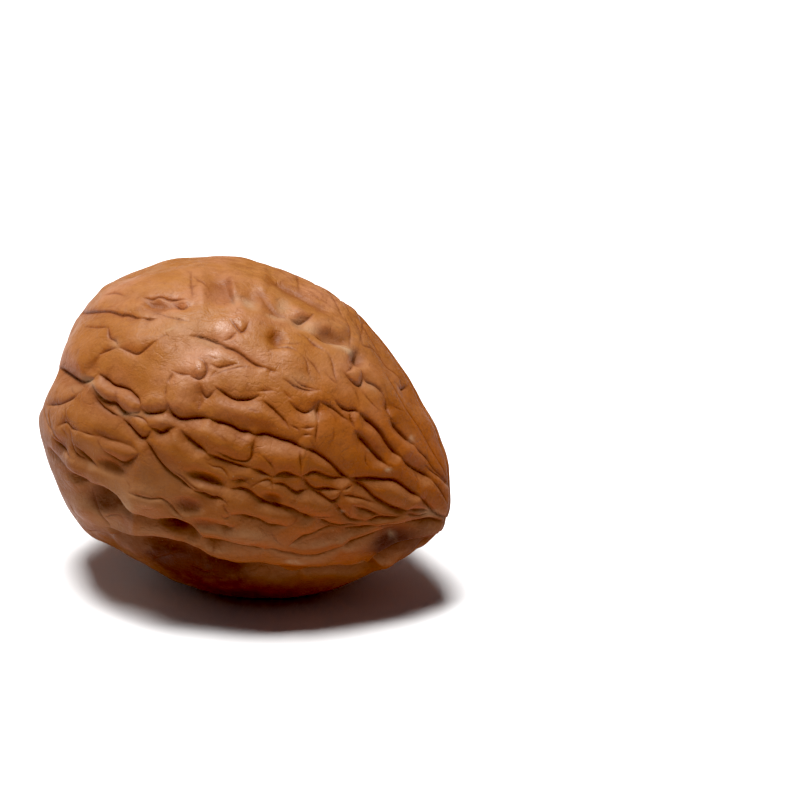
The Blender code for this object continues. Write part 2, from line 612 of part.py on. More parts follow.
def grown_paths(turn):
    """The grown furrows on the body, without what the sketch shows, as (style, points)."""
    _, _, _, eye = sketch_frame()
    eye_in_body = eye @ turn
    paths = []
    for style, places in grown_places():
        if style not in STYLES:
            continue
        points = polar_points(smooth_path(places, GROWN_PATH_STEP))
        outward = points / np.array([HALF_LENGTH, HALF_THICKNESS, HALF_WIDTH]) ** 2
        outward /= np.linalg.norm(outward, axis=1)[:, None]
        sight = eye_in_body - points
        facing = np.einsum("ij,ij->i", outward, sight) / np.linalg.norm(sight, axis=1)
        hidden = facing < HIDDEN_FACING
        ends = np.flatnonzero(np.diff(np.concatenate([[0], hidden, [0]])))
        for first, last in ends.reshape(-1, 2):
            if last - first > SHORTEST_RUN:
                paths.append((style, points[first:last]))
    return paths


def carve(points, normals, paths):
    """How deep the furrows cut at each point, in millimetres."""
    total = np.zeros(len(points))
    for style, path in paths:
        depth, bottom, shoulder, lean = STYLES[style]
        reach = SHOULDER_REACH * shoulder
        near = np.flatnonzero(
            ((points > path.min(0) - reach) & (points < path.max(0) + reach)).all(1)
        )
        if not len(near):
            continue
        start, run = path[:-1], np.diff(path, axis=0)
        length = np.linalg.norm(run, axis=1)
        so_far = np.concatenate([[0], np.cumsum(length)])
        best = np.full(len(near), np.inf)
        side = np.zeros(len(near))
        where = np.zeros(len(near))
        here = points[near]
        for index in range(len(run)):
            offset = here - start[index]
            share = np.clip(offset @ run[index] / length[index] ** 2, 0, 1)
            away = offset - share[:, None] * run[index]
            distance = np.einsum("ij,ij->i", away, away)
            closer = distance < best
            best[closer] = distance[closer]
            where[closer] = so_far[index] + share[closer] * length[index]
            right_hand = np.cross(run[index] / length[index], normals[near[closer]])
            side[closer] = np.einsum("ij,ij->i", right_hand, away[closer])
        best = np.sqrt(best)
        below = np.clip(side / (0.5 * bottom), -1, 1)
        share = SHOULDER_SHARE * (1 + lean * below)
        valley = np.exp(-((best / bottom) ** BOTTOM_POWER))
        slope = np.exp(-((best / shoulder) ** SHOULDER_POWER))
        to_end = np.minimum(where, so_far[-1] - where)
        fade = END_DEPTH + (1 - END_DEPTH) * np.clip(to_end / END_FADE, 0, 1)
        total[near] += (depth * fade * ((1 - share) * valley + share * slope)) ** JOIN_POWER
    return total ** (1 / JOIN_POWER)


def swell(points, normals, turn):
    """The dents and lumps drawn on the sketch, in millimetres."""
    _, _, _, eye = sketch_frame()
    lying = points @ turn.T
    sight = eye - lying
    facing = np.einsum("ij,ij->i", normals @ turn.T, sight) / np.linalg.norm(sight, axis=1)
    seen = seen_on_sketch(lying)
    height = np.zeros(len(points))
    for place, size, tilt, rise in SWELLS:
        offset = seen - place
        cosine, sine = math.cos(math.radians(tilt)), math.sin(math.radians(tilt))
        along = (offset[:, 0] * cosine + offset[:, 1] * sine) / size[0]
        across = (offset[:, 1] * cosine - offset[:, 0] * sine) / size[1]
        height += rise * np.exp(-((along**2 + across**2) ** SWELL_POWER))
    return height * np.clip(facing / SWELL_EDGE, 0, 1)


def outline_swell(points, tree, turn):
    """The low swells and hollows of the outline, in millimetres."""
    height = np.zeros(len(points))
    for target, (_, reach, rise) in zip(on_sketch_plane([place for place, _, _ in OUTLINE]), OUTLINE):
        middle = np.array(tree.find_nearest(Vector(target))[0]) @ turn
        distance = np.linalg.norm(points - middle, axis=1)
        height += rise * np.exp(-((distance / reach) ** 2))
    return height


def lumps(points):
    """Low lumps all over, in millimetres."""
    height = np.zeros(len(points))
    for rise, size in LUMPS:
        height += rise * np.array([noise.noise(Vector(point / size)) for point in points])
    return height


def relief(points, normals, tree, turn, lowest):
    """Height of the shell's surface over the smooth body at each point, in millimetres."""
    off_seam = np.abs(points[:, 1])
    keel = KEEL_HEIGHT * np.exp(-((off_seam / KEEL_REACH) ** 2))
    seam = SEAM_DEPTH * np.exp(-((off_seam / SEAM_WIDTH) ** 2))
    to_tip = np.linalg.norm(points - [HALF_LENGTH, 0, 0], axis=1)
    nib = TIP_NIB_HEIGHT * np.exp(-((to_tip / TIP_NIB_REACH) ** 2))
    grown = carve(points, normals, grown_paths(turn))
    band = np.clip((off_seam - SMOOTH_BAND[0]) / (SMOOTH_BAND[1] - SMOOTH_BAND[0]), 0, 1)
    drawn = carve(points, normals, drawn_paths(tree, turn))
    height = keel - seam + nib - grown * band - drawn
    height += swell(points, normals, turn) + outline_swell(points, tree, turn) + lumps(points)
    to_spot = np.linalg.norm(points @ turn.T - lowest, axis=1)
    clear, full = FLAT_SPOT_CLEAR
    return height * np.clip((to_spot - clear) / (full - clear), 0, 1)


def shell_mesh():
    """The nut as a fine closed mesh, lying, with the flat spot's plane at z = 0."""
    turn, lowest = lying_pose()
    mesh = bmesh.new()
    bmesh.ops.create_icosphere(mesh, subdivisions=ICOSPHERE_LEVEL, radius=1.0)
    sphere = np.array([vert.co for vert in mesh.verts], float)
    points = body_points(sphere)
    for vert, place in zip(mesh.verts, points @ turn.T):
        vert.co = place
    mesh.normal_update()
    tree = BVHTree.FromBMesh(mesh)
    normals = np.array([vert.normal for vert in mesh.verts], float) @ turn
    height = relief(points, normals, tree, turn, lowest)
    surface = (points + normals * height[:, None]) @ turn.T
    surface -= lowest + (0, 0, FLAT_SPOT_CUT)
    for vert, place in zip(mesh.verts, surface * METRES):
        vert.co = place
    return mesh


def shell_material():
    material = bpy.data.materials.new("walnut_shell")
    material.use_nodes = True
    shader = material.node_tree.nodes["Principled BSDF"]
    shader.inputs["Base Color"].default_value = SHELL_COLOUR
    shader.inputs["Roughness"].default_value = SHELL_ROUGHNESS
    shader.inputs["Metallic"].default_value = 0.0
    return material


def faceted(fine):
    """Fewer faces, kept where the furrows are, then cut flat underneath and closed."""
    fine_mesh = bpy.data.meshes.new("fine")
    fine.to_mesh(fine_mesh)
    helper = bpy.data.objects.new("fine", fine_mesh)
    bpy.context.scene.collection.objects.link(helper)
    decimate = helper.modifiers.new("facets", "DECIMATE")
    decimate.ratio = FACETS / len(fine.faces)
    evaluated = helper.evaluated_get(bpy.context.evaluated_depsgraph_get())
    coarse = bmesh.new()
    coarse.from_mesh(bpy.data.meshes.new_from_object(evaluated))
    bpy.data.objects.remove(helper)
    every = coarse.verts[:] + coarse.edges[:] + coarse.faces[:]
    cut = bmesh.ops.bisect_plane(
        coarse, geom=every, plane_co=(0, 0, 0), plane_no=(0, 0, -1), clear_outer=True
    )
    rim = [item for item in cut["geom_cut"] if isinstance(item, bmesh.types.BMEdge)]
    flat = bmesh.ops.contextual_create(coarse, geom=rim)["faces"]
    bmesh.ops.triangulate(coarse, faces=flat)
    bmesh.ops.recalc_face_normals(coarse, faces=coarse.faces)
    return coarse


def main():
    for old in list(bpy.data.objects):
        bpy.data.objects.remove(old)
    collection = bpy.data.collections.new("walnut")
    bpy.context.scene.collection.children.link(collection)
    fine = shell_mesh()
    coarse = faceted(fine)
    mesh = bpy.data.meshes.new("walnut")
    coarse.to_mesh(mesh)
    fine.free()
    coarse.free()
    mesh.materials.append(shell_material())
    nut = bpy.data.objects.new("walnut", mesh)
    collection.objects.link(nut)


main()
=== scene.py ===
"""The look of a whole walnut: a fine shell with its furrows, seam, dust and waxy gloss.

The nut is one piece. Its body, its seam and its furrows are worked out as in the solid, from the
same sizes, on a finer mesh, with small wrinkles and pits added. The shell's colours come from
how deep each point lies, which way it faces, from soft patches and from noise. Much of the
darkening in the furrows, dents, sides and lower band is painted shade, and the paler upward lips
are a painted sheen. The rest is the floor, a softbox overhead and the camera.
"""

import math

import bmesh
import bpy
import numpy as np
from mathutils import Matrix, Vector, noise
from mathutils.bvhtree import BVHTree
from mathutils.kdtree import KDTree


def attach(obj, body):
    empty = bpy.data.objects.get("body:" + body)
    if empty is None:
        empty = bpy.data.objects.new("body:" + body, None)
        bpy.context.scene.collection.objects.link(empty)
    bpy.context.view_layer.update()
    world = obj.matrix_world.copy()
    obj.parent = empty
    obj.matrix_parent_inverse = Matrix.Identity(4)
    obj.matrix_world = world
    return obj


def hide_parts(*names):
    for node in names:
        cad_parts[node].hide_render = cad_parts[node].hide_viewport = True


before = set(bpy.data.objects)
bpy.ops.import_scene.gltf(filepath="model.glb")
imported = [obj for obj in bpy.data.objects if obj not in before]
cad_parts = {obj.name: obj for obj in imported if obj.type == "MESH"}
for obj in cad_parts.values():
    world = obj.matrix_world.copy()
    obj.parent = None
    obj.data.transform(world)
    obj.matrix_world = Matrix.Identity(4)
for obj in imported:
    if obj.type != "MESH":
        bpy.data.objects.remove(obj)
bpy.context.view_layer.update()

# Driving sizes of the smooth body, in millimetres and degrees
HALF_LENGTH = 20.9
HALF_WIDTH = 15.9
HALF_THICKNESS = 15.8
TAPER = (-0.146, -0.019, -0.199)
PITCH = 15.2
ROLL = 24.0
FLAT_SPOT_CUT = 0.65
FLAT_SPOT_CLEAR = (5.5, 9.0)
UNDERSIDE_SPAN = (60.0, 120.0)
UNDERSIDE_STEPS = 6001
METRES = 0.001

# The sketch plane, through the middle of the nut and square to the way the eye looks.
# It has ten units to the millimetre, x to the right and y down.
SKETCH_AZIMUTH = 20.0
SKETCH_ELEVATION = 22.0
SKETCH_SCALE = 10.0
SKETCH_NUT = (251.4, 438.0)
SKETCH_EYE = (400.0, 400.0)
EYE_DISTANCE = 300.0

# Each style of furrow, in millimetres: depth, width of its bottom and of its shoulders, and its
# lean, from 0, even on both sides, to 1, steep above and open below. Then the strength and the
# width of the dark line of painted shade in its bottom, and how far off the finer mesh starts.
STYLES = {
    "deep": (0.82, 0.13, 1.10, 0.30, 1.00, 0.13, 0.45),
    "furrow": (0.66, 0.12, 0.95, 0.20, 0.95, 0.12, 0.40),
    "crease": (0.48, 0.11, 0.75, 0.15, 0.80, 0.11, 0.35),
    "crack": (0.33, 0.09, 0.50, 0.00, 0.80, 0.10, 0.28),
    "line": (0.15, 0.08, 0.34, 0.00, 0.65, 0.10, 0.25),
    "fold": (0.50, 0.40, 1.30, 0.30, 0.00, 0.10, 0.10),
    "shelf": (1.10, 0.22, 1.60, 0.90, 0.60, 0.14, 0.50),
}
SHOULDER_SHARE = 0.70
BOTTOM_POWER = 1.3
SHOULDER_POWER = 1.05
SHOULDER_REACH = 3.0
JOIN_POWER = 4.0
END_FADE = 1.1
END_DEPTH = 0.3
PATH_STEP = 0.30
SWELL_POWER = 1.3
SWELL_EDGE = 0.15

# Furrows of the front half, on the sketch: x and y of each point of a furrow in turn
FURROWS = {
    "deep": (
        (57, 367, 63, 371, 72, 377, 79, 380, 85, 379, 93, 378),
        (91, 385, 93, 391, 98, 397, 106, 401, 113, 402, 118, 408, 124, 412, 132, 412),
        (150, 427, 156, 430, 161, 432, 168, 428, 176, 427),
        (180, 430, 188, 438, 195, 444, 202, 449, 207, 454),
        (168, 404, 171, 412, 177, 417, 184, 418, 192, 417, 203, 417, 211, 419),
        (208, 418, 217, 421, 226, 423, 233, 426, 240, 430, 248, 431, 256, 437),
        (250, 433, 258, 434, 266, 433, 275, 436, 284, 439, 292, 441, 299, 446, 306, 449),
        (303, 448, 313, 450, 323, 456, 331, 462, 338, 468, 345, 475, 354, 481),
        (350, 478, 361, 479, 373, 478, 386, 479, 397, 480, 406, 486, 414, 492, 422, 498),
        (352, 480, 361, 484, 369, 490, 376, 497, 385, 503, 393, 507, 401, 510, 409, 511),
        (230, 490, 240, 490, 249, 492, 256, 498, 264, 503, 272, 505),
        (266, 504, 275, 506, 284, 508, 293, 511, 300, 515, 308, 518, 317, 520),
        (273, 478, 280, 474, 287, 473, 293, 475, 301, 477),
        (378, 527, 390, 527, 401, 526, 411, 523, 421, 521, 431, 519, 440, 519),
        (361, 412, 370, 418, 378, 425, 385, 433, 390, 441, 397, 450, 404, 458),
        (356, 430, 361, 434, 368, 441, 375, 449, 382, 457, 390, 466),
    ),
    "furrow": (
        (97, 373, 104, 378, 111, 384, 119, 386, 127, 389, 133, 394, 138, 399, 141, 407),
        (392, 415, 397, 424, 404, 432, 411, 440, 416, 445),
        (90, 392, 93, 399, 99, 406, 106, 411, 113, 415, 119, 417),
        (118, 417, 124, 422, 129, 427, 135, 433, 140, 438, 146, 436, 151, 430),
        (140, 407, 145, 412, 153, 413, 160, 412, 166, 409, 168, 404),
        (420, 496, 427, 502, 432, 508, 438, 514, 446, 516),
        (406, 511, 415, 510, 424, 510, 432, 511),
        (103, 451, 110, 458, 118, 463, 125, 463, 132, 459, 139, 454),
        (74, 446, 81, 455, 88, 462, 95, 468),
        (143, 439, 149, 447, 155, 457, 162, 466, 170, 474, 178, 480, 186, 487, 194, 491),
        (192, 491, 202, 494, 211, 498, 219, 499, 226, 503),
        (315, 519, 324, 523, 332, 527, 342, 528, 352, 527, 362, 527),
        (205, 453, 214, 457, 224, 461, 233, 464, 243, 467, 252, 468),
        (250, 468, 258, 471, 266, 475, 274, 478),
        (300, 477, 308, 474, 316, 472, 325, 475, 334, 478, 344, 479, 352, 480),
        (300, 476, 306, 481, 311, 487, 318, 490, 326, 489, 334, 490, 342, 491),
        (271, 485, 277, 484, 284, 485, 290, 489, 297, 493, 304, 491, 312, 490),
        (310, 490, 318, 493, 325, 498, 333, 502, 339, 499, 342, 492),
        (334, 502, 339, 508, 344, 514, 350, 520, 358, 522, 367, 522),
        (365, 522, 373, 521, 380, 518, 388, 518, 397, 518, 404, 515),
        (353, 505, 359, 509, 367, 511, 375, 514, 384, 517),
        (232, 516, 241, 517, 250, 519, 259, 522, 268, 527, 278, 528, 288, 528),
        (214, 526, 223, 529, 231, 530, 235, 527),
        (290, 547, 298, 543, 305, 539, 314, 537, 323, 533, 332, 530, 342, 531),
        (340, 531, 351, 531, 361, 530, 371, 528, 380, 527),
        (198, 538, 210, 544, 222, 544, 233, 546, 243, 548, 254, 550, 265, 551),
        (342, 548, 354, 543, 366, 539, 377, 535, 388, 532, 401, 530),
        (336, 400, 343, 406, 350, 409, 357, 409, 364, 414),
        (402, 456, 410, 463, 418, 468, 427, 473, 433, 480), (320, 401, 319, 409, 318, 420),
        (215, 387, 222, 391, 229, 396, 236, 399, 244, 399, 252, 398, 259, 395),
        (66, 474, 74, 479, 82, 484, 89, 489), (231, 481, 240, 481, 248, 480),
        (354, 567, 362, 564, 371, 564),
    ),
    "crease": (
        (76, 317, 81, 314, 90, 311, 100, 311, 110, 312, 120, 315, 128, 315),
        (115, 314, 121, 316, 128, 315, 136, 318, 144, 319), (140, 318, 150, 319, 158, 317),
        (92, 378, 97, 373), (190, 335, 200, 335, 209, 338, 218, 342, 226, 345),
        (216, 341, 226, 346, 234, 349, 242, 354, 250, 360, 259, 365, 268, 368),
        (344, 373, 350, 379, 357, 384, 362, 384, 364, 378, 361, 370),
        (362, 373, 368, 380, 376, 384, 383, 390, 388, 399), (388, 398, 390, 408, 393, 417),
        (130, 412, 138, 412, 141, 407), (118, 418, 121, 414, 125, 413),
        (214, 451, 223, 455, 231, 459, 239, 461, 247, 461, 252, 456, 253, 447, 256, 437),
        (256, 485, 262, 482, 270, 481, 272, 486, 273, 492),
        (402, 515, 410, 514, 418, 516, 427, 514, 434, 512),
        (341, 497, 349, 496, 357, 498, 365, 500, 373, 503, 381, 505),
        (342, 491, 349, 489, 354, 486, 357, 483),
        (262, 551, 272, 552, 283, 555, 293, 557, 303, 560),
        (282, 553, 292, 556, 303, 558, 315, 558, 326, 555, 336, 551, 346, 546),
        (86, 529, 96, 534, 107, 538, 118, 540),
        (319, 402, 327, 404, 334, 408, 341, 413, 347, 418, 353, 421),
        (353, 408, 352, 415, 354, 422, 358, 431),
        (200, 384, 202, 392, 206, 397, 211, 394, 215, 389),
        (262, 400, 272, 407, 280, 415, 286, 422, 290, 431),
        (290, 402, 297, 408, 305, 412, 312, 410, 318, 405), (231, 291, 233, 296, 234, 302),
        (316, 333, 325, 338, 335, 342, 344, 346, 352, 350), (398, 385, 402, 389, 406, 387),
        (70, 440, 73, 452, 80, 459, 88, 463), (266, 367, 271, 370, 276, 371),
        (152, 562, 162, 561, 172, 558, 182, 557), (188, 568, 195, 573, 204, 577, 212, 574),
        (248, 490, 253, 486, 258, 483), (336, 500, 340, 497, 343, 492),
    ),
    "crack": (
        (142, 297, 151, 298, 160, 296, 168, 298, 178, 298, 187, 299),
        (172, 301, 178, 305, 184, 307, 190, 304), (108, 326, 109, 337, 115, 341, 119, 347),
        (118, 347, 128, 351, 136, 354, 142, 352, 150, 346, 158, 340),
        (172, 371, 180, 374, 192, 375),
        (189, 375, 194, 378, 200, 379, 205, 376, 207, 370, 205, 363, 199, 358),
        (167, 383, 171, 378, 173, 372), (290, 315, 296, 318, 303, 319, 309, 317, 314, 313),
        (230, 319, 235, 326, 241, 332, 246, 329, 249, 322), (222, 341, 231, 337, 238, 331),
        (210, 363, 218, 367, 228, 365, 240, 363), (211, 376, 217, 370),
        (287, 382, 298, 387, 308, 390, 320, 390),
        (415, 444, 421, 451, 428, 459, 434, 470, 440, 478, 445, 486), (69, 383, 69, 390, 74, 394),
        (48, 405, 58, 404, 65, 401, 72, 397, 77, 392), (115, 391, 115, 397, 117, 404),
        (124, 415, 133, 416, 141, 418, 147, 423, 150, 429), (143, 414, 150, 417, 158, 416),
        (129, 463, 130, 468), (168, 470, 176, 474, 184, 480, 190, 486, 197, 490, 205, 493),
        (130, 492, 141, 495, 152, 498, 161, 499, 168, 505, 174, 513, 184, 521),
        (205, 462, 212, 467, 221, 469, 226, 475, 229, 482), (226, 469, 228, 464, 233, 464),
        (300, 448, 300, 458, 301, 468, 300, 476), (253, 446, 252, 456, 252, 466),
        (231, 482, 240, 481, 248, 484, 252, 489), (298, 497, 295, 502, 290, 505),
        (304, 516, 314, 518, 325, 519, 336, 518), (351, 507, 350, 514, 352, 521),
        (297, 515, 297, 521, 293, 526, 288, 528), (223, 503, 225, 510, 230, 516),
        (58, 426, 65, 422, 70, 428, 79, 431), (61, 496, 67, 504, 74, 514, 84, 522),
        (431, 478, 437, 487, 441, 496, 443, 505), (388, 465, 396, 467),
        (310, 440, 314, 446, 319, 450), (418, 469, 419, 477, 421, 485),
        (257, 391, 264, 390, 273, 390), (284, 392, 293, 400), (299, 428, 308, 428, 317, 427),
        (299, 438, 304, 435, 314, 435), (118, 348, 110, 349, 101, 352, 94, 359),
        (308, 338, 316, 345, 323, 350), (355, 363, 351, 369, 345, 373),
        (79, 431, 90, 435, 100, 437, 112, 440, 124, 443), (96, 437, 98, 444, 103, 451),
        (52, 437, 57, 445, 64, 452, 71, 458), (205, 397, 200, 404, 197, 411, 196, 416),
        (283, 379, 290, 383, 297, 388, 305, 391), (293, 378, 300, 384, 308, 387, 318, 390),
        (288, 424, 294, 427, 299, 430, 300, 437), (299, 437, 297, 443, 300, 449),
        (318, 420, 317, 430, 316, 440, 318, 448), (425, 463, 433, 472, 440, 480, 445, 488),
        (371, 449, 368, 455, 368, 463, 373, 470), (85, 488, 88, 500, 95, 512, 103, 522, 110, 532),
        (101, 520, 110, 518, 118, 520, 124, 526), (203, 457, 208, 461, 213, 456),
        (221, 516, 224, 519, 228, 518, 231, 515), (340, 529, 345, 526, 352, 527),
        (350, 527, 358, 530, 366, 529, 375, 526), (390, 533, 394, 538, 397, 543),
        (145, 448, 150, 455, 153, 462), (262, 456, 270, 463, 276, 473),
    ),
    "line": (
        (398, 362, 410, 382, 423, 404, 433, 430, 441, 455, 445, 478),
        (386, 372, 398, 393, 412, 417, 425, 440, 436, 463, 444, 483),
        (352, 318, 364, 334, 376, 350, 388, 368), (368, 322, 380, 337, 391, 352, 402, 370),
        (158, 340, 164, 336, 170, 336), (194, 274, 198, 279, 204, 283, 210, 287),
        (190, 280, 194, 289), (207, 355, 214, 358, 222, 359), (282, 342, 292, 344, 300, 344),
        (262, 262, 280, 268, 295, 276, 310, 286, 325, 296, 337, 307, 348, 319),
        (255, 265, 274, 271, 290, 280, 302, 286),
        (352, 322, 360, 334, 363, 345, 372, 349, 380, 357, 387, 366, 395, 374, 400, 382),
        (390, 419, 396, 428, 404, 436, 412, 443), (390, 402, 398, 407, 405, 411),
        (269, 528, 272, 536, 277, 543, 285, 549),
        (44, 440, 50, 452, 57, 460, 68, 467, 80, 474, 89, 482),
        (46, 404, 46, 416, 50, 428, 56, 434), (86, 498, 92, 508, 99, 518, 107, 526),
        (84, 326, 95, 327, 105, 327, 109, 330), (104, 296, 115, 293, 125, 295),
        (268, 270, 280, 273, 290, 279, 296, 285, 300, 292),
        (296, 282, 310, 290, 325, 300, 335, 310, 343, 320),
        (305, 283, 320, 291, 332, 300, 342, 311), (303, 333, 312, 341, 320, 349, 325, 352),
        (343, 318, 349, 327, 352, 338, 350, 350), (359, 325, 361, 335, 359, 346),
        (362, 388, 368, 397, 376, 405, 385, 412), (353, 385, 358, 395, 361, 406),
        (57, 428, 62, 424, 66, 423, 69, 428, 71, 434), (60, 427, 64, 433, 67, 440),
        (65, 425, 69, 432, 71, 440, 72, 449), (64, 404, 65, 413, 64, 422),
        (51, 404, 49, 415, 51, 428, 57, 440, 64, 450), (168, 383, 166, 392, 167, 402),
        (226, 428, 233, 434, 243, 440, 254, 443), (328, 408, 334, 415, 336, 424),
        (420, 402, 427, 413, 433, 425, 439, 440, 443, 455),
        (425, 400, 433, 413, 440, 430, 446, 448), (373, 449, 380, 447, 385, 450),
        (92, 506, 99, 517, 106, 528), (68, 498, 73, 508, 80, 516), (98, 527, 105, 531, 113, 534),
        (212, 543, 213, 551, 212, 559), (300, 355, 306, 362, 308, 372, 312, 380),
        (325, 352, 331, 362, 334, 374, 338, 386), (244, 404, 252, 410, 262, 413),
        (212, 430, 222, 437, 232, 447), (123, 478, 130, 486, 131, 492),
        (330, 447, 334, 437, 333, 427), (191, 270, 191, 283, 193, 297),
        (213, 376, 222, 371, 233, 368, 246, 366, 256, 367),
        (150, 309, 162, 314, 173, 318, 190, 321), (305, 357, 314, 366, 322, 378),
        (325, 372, 332, 380, 341, 386), (268, 351, 276, 347, 288, 348, 298, 353),
        (64, 402, 71, 396, 79, 391), (66, 384, 73, 382, 80, 383, 87, 386),
        (227, 465, 226, 471, 229, 477), (317, 397, 315, 407, 318, 419),
    ),
    "fold": (
        (144, 300, 152, 305, 162, 308, 170, 306), (85, 378, 87, 371, 92, 363, 99, 355),
        (227, 276, 229, 290, 233, 298, 236, 305),
        (258, 288, 264, 297, 270, 305, 276, 311, 283, 314, 290, 314),
        (270, 278, 284, 285, 298, 292, 310, 300, 320, 306, 332, 313),
        (88, 432, 98, 435, 108, 440, 118, 443, 130, 447, 138, 453),
        (94, 462, 102, 463, 110, 467, 118, 472, 128, 478),
        (182, 472, 193, 475, 204, 478, 214, 483, 223, 488, 232, 490),
        (46, 447, 54, 459, 64, 468, 74, 477, 83, 483, 92, 488),
        (197, 382, 199, 393, 199, 403, 196, 412), (361, 345, 360, 355, 359, 365),
    ),
    "shelf": (
        (84, 486, 93, 489, 103, 492, 112, 497, 119, 504, 126, 511, 135, 516),
        (130, 514, 142, 519, 154, 523, 164, 523, 174, 523, 182, 526, 191, 532, 202, 540),
        (104, 530, 122, 538, 142, 541, 162, 543, 180, 546, 196, 551, 208, 559, 222, 566),
        (214, 563, 232, 568, 248, 568, 262, 568, 276, 574, 291, 577, 306, 574),
        (300, 575, 316, 572, 332, 568, 348, 568, 362, 567, 376, 560),
        (370, 562, 384, 552, 398, 546, 412, 541, 424, 536, 432, 531),
    ),
}

# Wrinkles round the notch in the base end, in degrees from the tip and round the long axis
END_FURROWS = (
    ("furrow", (165, 96), (169, 100), (173, 110), (176, 130), (176.5, 160)),
    ("crease", (167, 108), (171, 117), (173, 135), (172.5, 155), (170, 168)),
    ("crease", (168, 92), (172, 83), (175, 64), (175.5, 38), (173, 18)),
    ("crack", (162, 112), (166, 121), (168, 136), (167, 152)),
    ("crack", (163, 88), (167, 80), (170, 66), (170, 48)),
)

# Soft dents (minus) and lumps (plus) of the front half, on the sketch: x, y, half length,
# half width, turn in degrees, and height in millimetres
SWELLS = (
    (250, 299, 11, 9, 60, -0.45), (277, 338, 9, 8, 60, -0.55), (283, 304, 9, 8, 30, -0.35),
    (303, 322, 13, 6, 20, -0.45), (334, 335, 17, 7, 15, -0.85), (359, 360, 8, 9, 60, -0.6),
    (290, 290, 16, 7, 25, -0.25), (238, 325, 9, 8, 30, 0.28), (221, 326, 11, 10, -40, 0.22),
    (200, 369, 7, 9, 0, 0.26), (205, 387, 7, 9, 0, 0.18), (356, 373, 7, 10, 0, 0.25),
    (78, 355, 15, 18, 0, 0.45), (126, 400, 13, 9, 20, 0.45), (104, 390, 11, 8, 30, 0.35),
    (154, 402, 14, 8, 0, 0.25), (138, 427, 10, 7, 30, 0.2), (160, 421, 13, 6, 0, 0.25),
    (183, 400, 14, 14, 0, 0.3), (98, 503, 20, 9, 25, -0.95), (108, 468, 14, 7, 20, -0.4),
    (186, 507, 15, 8, 10, -0.62), (204, 480, 18, 6, 15, -0.45), (204, 526, 16, 6, 10, -0.45),
    (272, 500, 10, 6, 10, -0.6), (180, 530, 14, 6, 15, -0.5), (238, 485, 9, 5, 0, -0.15),
    (120, 450, 14, 8, 15, 0.25), (175, 450, 22, 10, 35, 0.3), (222, 440, 28, 10, 20, 0.3),
    (278, 458, 20, 13, 10, 0.35), (250, 413, 30, 9, 15, 0.35), (322, 463, 20, 8, 35, 0.25),
    (316, 505, 18, 9, 10, 0.3), (280, 517, 18, 7, 5, 0.25), (400, 492, 20, 8, 35, 0.35),
    (375, 436, 16, 6, 45, 0.25), (352, 445, 12, 18, 0, 0.2), (405, 445, 20, 6, 45, 0.2),
    (395, 536, 20, 8, -15, -0.55), (58, 448, 8, 12, 20, -0.3), (330, 540, 26, 6, -15, -0.25),
    (200, 568, 50, 8, 8, -0.35), (262, 282, 6, 18, 5, 0.2), (300, 312, 7, 4, 30, 0.25),
    (311, 323, 6, 4, 20, 0.25), (343, 330, 8, 6, 40, 0.3), (346, 351, 12, 4, 35, 0.2),
    (296, 358, 20, 8, 40, 0.2), (318, 396, 12, 8, 30, 0.15), (217, 286, 11, 15, 0, -0.35),
    (202, 288, 6, 22, 0, 0.2), (232, 283, 4, 12, -20, 0.2), (168, 303, 22, 5, 5, -0.3),
    (186, 301, 6, 5, 20, 0.2), (122, 298, 20, 6, -15, -0.25), (165, 272, 20, 8, -10, -0.2),
    (112, 312, 24, 6, 5, 0.2), (150, 345, 22, 12, 20, 0.2), (185, 345, 16, 7, 20, -0.15),
    (106, 545, 10, 7, 30, -0.3), (84, 505, 8, 12, -30, 0.3), (128, 508, 12, 14, 30, 0.35),
    (146, 497, 16, 8, 25, 0.3), (118, 528, 14, 8, 30, -0.3), (150, 545, 16, 7, 25, -0.35),
    (185, 555, 14, 6, 15, -0.35), (168, 534, 14, 5, 20, 0.3), (100, 440, 16, 10, 30, 0.25),
    (60, 420, 8, 16, 10, 0.2), (72, 470, 8, 14, -20, 0.3), (246, 540, 22, 7, 8, 0.3),
    (215, 545, 16, 5, 15, -0.3), (104, 499, 18, 5, 30, -0.4), (170, 527, 14, 4, 12, -0.45),
    (72, 478, 11, 4, 35, -0.4), (165, 549, 22, 6, 12, -0.5), (213, 564, 25, 6, 15, -0.5),
    (158, 303, 16, 4, 12, -0.2), (300, 572, 60, 4, 0, -0.4),
)

# Low swells and hollows of the outline: x and y on the sketch, reach and height in millimetres
OUTLINE = (
    (59, 374, 3.2, -1.7), (50, 392, 2.2, -0.4), (41, 413, 2.9, 0.95), (68, 345, 3.0, 0.5),
    (88, 305, 2.5, 0.35), (98, 299, 0.8, -0.22), (108, 288, 2.0, 0.35), (120, 281, 0.8, 0.15),
    (130, 274, 2.2, -0.4), (152, 263, 3.0, 0.05), (190, 257, 4.0, -0.35), (250, 259, 4.0, 0.2),
    (340, 297, 5.0, 0.35), (385, 345, 3.0, -0.2), (445, 448, 3.0, 0.4), (449, 505, 2.5, -1.0),
    (447, 528, 2.2, -1.1), (420, 550, 2.5, 0.35), (393, 564, 3.2, -0.8), (196, 590, 1.8, -0.25),
    (155, 570, 4.5, -0.4), (118, 552, 3.0, -0.6), (80, 525, 3.0, 0.3), (55, 480, 3.0, -0.15),
)

# The seam that joins the halves, in millimetres
KEEL_HEIGHT = 0.55
KEEL_REACH = 2.4
SEAM_DEPTH = 0.30
SEAM_WIDTH = 0.28
# The strength of the painted shade line along the seam
SEAM_LINE = 2.0
SMOOTH_BAND = (2.6, 4.4)
STRIPED_BAND = (3.0, 7.0)
TIP_NIB_HEIGHT = 0.5
TIP_NIB_REACH = 2.2

